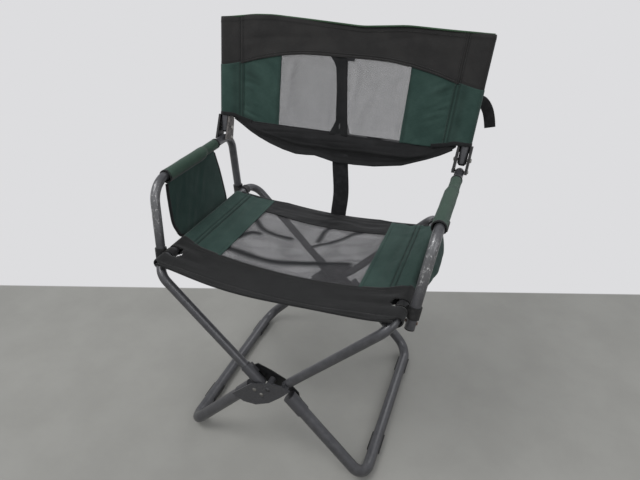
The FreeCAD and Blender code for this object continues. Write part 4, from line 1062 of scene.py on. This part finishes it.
def back_trim():
    """Piping, bindings, sewing and straps on the back."""
    outward = np.array((0, -cos(RECLINE), sin(RECLINE)))
    upward = (0, sin(RECLINE), cos(RECLINE))

    def piping(name, low, high, how):
        x = np.linspace(low, high, int((high - low) / 3))
        offset = -2 * step(286 - np.abs(x), 0, 22) - 0.9
        edge = along_back(x, top_edge_smooth(x) + 0.6, offset)
        edge += outward * (head_sway(x) * step(262 - np.abs(x), 0, 30))[:, None]
        settle(sweep(name, edge, upward, oval(4.2, 3.6, 10, 1)), PIPING, how)

    seam = SEAM_AT + 9
    piping("back_piping", -seam, seam, "back")
    piping("back_piping_left", -303, -seam + 8, "post_left")
    piping("back_piping_right", seam - 8, 303, "post_right")

    x = np.linspace(-259, 259, 160)
    hem = along_back(x, low_hem(x), -1.1)
    settle(sweep("back_low_hem", hem, upward, oval(3.6, 4.5)), BINDING, "back")

    for side, word in SIDES:
        post = PIN_X + HEM_UP * tan(FLARE)
        angle = np.radians(np.linspace(-112, 112, 28))
        round_x, round_behind = post + (WRAP + 0.4) * np.cos(angle), (WRAP + 0.4) * np.sin(angle)
        flat_x = np.linspace(213, post - 13, 30)
        front_behind = -1.6 - 9.6 * step(flat_x, 240, post - 11)
        run = np.concatenate([flat_x, round_x, flat_x[::-1][:16]])
        depth = np.concatenate([front_behind, round_behind, (-front_behind)[::-1][:16]])
        ups = low_edge(np.minimum(run, 290)) + 1.5
        path = along_back(side * run, smooth(ups, 7), depth)
        settle(sweep(f"back_side_binding_{word}", path, upward, oval(2.6, 8.5)), BINDING, f"post_{word}")

        up = np.linspace(36, 240, 90)
        lines = [along_back(side * (seam_x(up) + past), up, behind)
                 for past, behind in ((-5, -1.2), (3, -2.01))]
        low_part = [path[:46] + outward * 0.9 for path in lines]
        high_part = [path[48:] + outward * 2.6 for path in lines]
        stitches(f"back_stitches_{word}", low_part, outward, THREAD_GREEN, f"post_{word}")
        stitches(f"back_head_stitches_{word}", high_part, outward, THREAD_BLACK, f"post_{word}")
        beside = along_back(side * (BACK_MESH_HALF - 1.5), np.linspace(24, 172, 60), -1)
        stitches(f"back_net_stitches_{word}", [beside], outward, THREAD_GREEN, "back")

    x = np.linspace(-240, 240, 240)
    seam, edge = smooth(top_seam(x), 9), smooth(top_edge(x), 11)
    lines = [along_back(x, up, -3) for up in (seam + 1.5, seam + 6, edge - 9)]
    stitches("back_band_stitches", lines, outward, THREAD_BLACK, "back")

    # One length of webbing, cut where the back hinges
    edge = np.array((15, SEAT_REAR + 2.5, SEAT_TOP + 1 - SEAT_SAG))
    run = curve([on_back(-4, 186, 2.9), on_back(3, 100, 3.2), on_back(12, 10, 3),
                 on_back(14, -42, 4.5), edge + (4, 1.5, 62), edge + (0, 0, 8), edge - (0, 0, 7)], 90)
    widths = 0.58 + 0.42 * step(np.linspace(0, 1, 90), 0.34, 0.46)
    cut = int(np.argmin(np.abs(up_of(run[:, 1], run[:, 2]))))
    for name, part, how in (("back", slice(cut + 1), "back"), ("seat", slice(cut, None), "hanging")):
        strap(f"{name}_webbing", run[part], 38, (0, -1, 0.2), widths[part], how, stands_for=["back_strap"])
    tab = np.linspace(0, 18, 10)
    path = along_back(6 + tab, 178.5 + 0.6 * np.sin(tab / 6), -2.6)
    strap("back_tab", path, 6, outward)
    path = curve([on_back(256, 118, 6.4), on_back(270, 118, 9.4), on_back(283, 117, 13.5),
                  (295, 221, 727), (304, 230, 720), (313, 234, 706), (319.5, 235, 688), (324, 235, 669)], 60)
    strap("back_strap_tail", path, 23, (0.05, -0.95, 0.3), how="post_right")


back_head()
for side, word in SIDES:
    back_side(side, word)
back_middle()
back_trim()

# ---- the arms


def on_arm(side, out, y, high):
    """The row frame's mm for a place beside the leaning arm: out from the rail, and up the arm's plane."""
    return (side * (RAIL_X + out * cos(ARM_LEAN) + high * sin(ARM_LEAN)), y + 0 * out,
            RAIL_Z + high * cos(ARM_LEAN) - out * sin(ARM_LEAN))


# A pouch's outline in the arm's plane: Y, and mm above the rail
POUCH = [(-93, 133), (-99, 105), (-105, 62), (-106, 40), (-101, 22), (-90, 2), (-60, -4), (-10, -6),
         (50, -5), (96, -3), (103, 4), (102, 40), (99, 80), (94, 112), (91, 133)]
SLEEVE_STEP = 54  # Y where the armrest's sleeve grows wider


def arm_pieces(side, word):
    """An armrest's sleeve, and the pouch under it."""
    body = f"arm_{word}"
    sleeve_front = -95 - 4 * (side + 1)

    def round_bar(u, v):
        y = sleeve_front + (107 - sleeve_front) * v
        slack = step(y, 56, 40)
        radius = 10.6 + 0.9 * step(y, 58, 52) + 1.6 * slack
        angle = np.radians(-90 + 352 * unit(u) + 4)
        lip = 3 * bell(u, 0, 0.05) + 3 * bell(u, 1, 0.05)
        out = ARM_GAP - 1.2 * slack + radius * np.cos(angle) * (1 - 0.1 * lip)
        return on_arm(side, out, y, ARM_HEIGHT - 1.2 * slack + radius * np.sin(angle) - lip * 0.6)

    def sleeve_lift(s, t, x, y, z):
        return side * (creases(y, s, 6, 16, 60, 131 + side) * 0.5 - 0.5 * bell(y, SLEEVE_STEP, 2))

    # painted shade on the underside of the armrest sleeve, and at the step where it widens
    def sleeve_shade(s, t, x, y, z):
        return 0.95 * step(BAR_Z - z, 1, 10) + 0.25 * bell(y, SLEEVE_STEP, 3)

    sleeve = cloth(f"armrest_sleeve_{word}", round_bar, np.linspace(0, 1, 56)[::side], 90, sleeve_lift,
                   thick=1.4, shade=sleeve_shade)
    settle(sleeve, GREEN_PAINTED_LIGHT, body, [f"arm_sleeve_{word}"], rests_on=[f"arm_loop_{word}"])

    angle = np.arange(40) * 2 * pi / 40
    for end, y_ring, radius, slack in (("front", sleeve_front + 2, 12.9, 1.2), ("rear", 105.5, 10.8, 0)):
        out, high = ARM_GAP - slack, ARM_HEIGHT - slack
        ring = np.stack(on_arm(side, out + radius * np.cos(angle), y_ring, high + radius * np.sin(angle)), -1)
        centre = np.array(on_arm(side, out, y_ring, high))
        hem = sweep(f"armrest_hem_{end}_{word}", ring, ring - centre, oval(6.5, 2.6), ring=True)
        settle(hem, BINDING, body)

    outline = curve(POUCH, 120)
    lowest = int(np.argmin(np.where(outline[:, 0] < 0, outline[:, 1], 1e9)))
    front, rear = outline[:lowest + 1], outline[lowest:]
    high = np.linspace(-4.5, 131, 60)
    front_y = np.interp(high, front[::-1, 1], front[::-1, 0])
    rear_y = np.interp(high, *rear[rear[:, 1] > -5][:, ::-1].T)

    for layer, face, top, bulge in (("inner", -1, 1, 1.4), ("outer", 1, 0.93, 19)):
        def lay(u, v):
            h = high[0] + (high[-1] * top - high[0]) * v
            y = np.interp(h, high, front_y)
            y = y + (np.interp(h, high, rear_y) - y) * u
            if layer == "inner":
                belly = np.sin(pi * (v * 0.9 + 0.02)) ** 0.6
            else:
                belly = 0.1 * step(v, 0, 0.2) + 0.9 * bell(v, 0.08, 0.11) * step(v, -0.02, 0.03)
                belly = belly + 0.2 * bell(v, 0.92, 0.12)
            out = ARM_GAP + face * (0.9 + bulge * (np.sin(pi * u) ** 0.6 * belly))
            return on_arm(side, out, y, h - 2 * np.sin(pi * u) * (1 - v))

        def lift(s, t, x, y, z):
            edge = step(s - s.min(), 0, 14) * step(s.max() - s, 0, 14) * step(t, 0, 10)
            folds = crumple(y, z, (1.2, 62, 26, 80, 141 + face + side), (0.9, -40, 34, 90, 147 + side))
            return edge * folds * side * face

        columns = np.linspace(0, 1, 70)[::side * face]
        sheet = cloth(f"pouch_{layer}_{word}", lay, columns, 50, lift, thick=1.3)
        settle(sheet, GREEN_PAINTED_SHADE, body, [f"arm_pouch_{word}"] if layer == "inner" else [], "hung")

    edge = outline[outline[:, 1] < 129]
    path = np.stack(on_arm(side, ARM_GAP, edge[:, 0], edge[:, 1]), -1)
    across = (side * cos(ARM_LEAN), 0, -sin(ARM_LEAN))
    settle(sweep(f"pouch_binding_{word}", path, across, oval(8, 4.6)), BINDING, body)


for side, word in SIDES:
    arm_pieces(side, word)
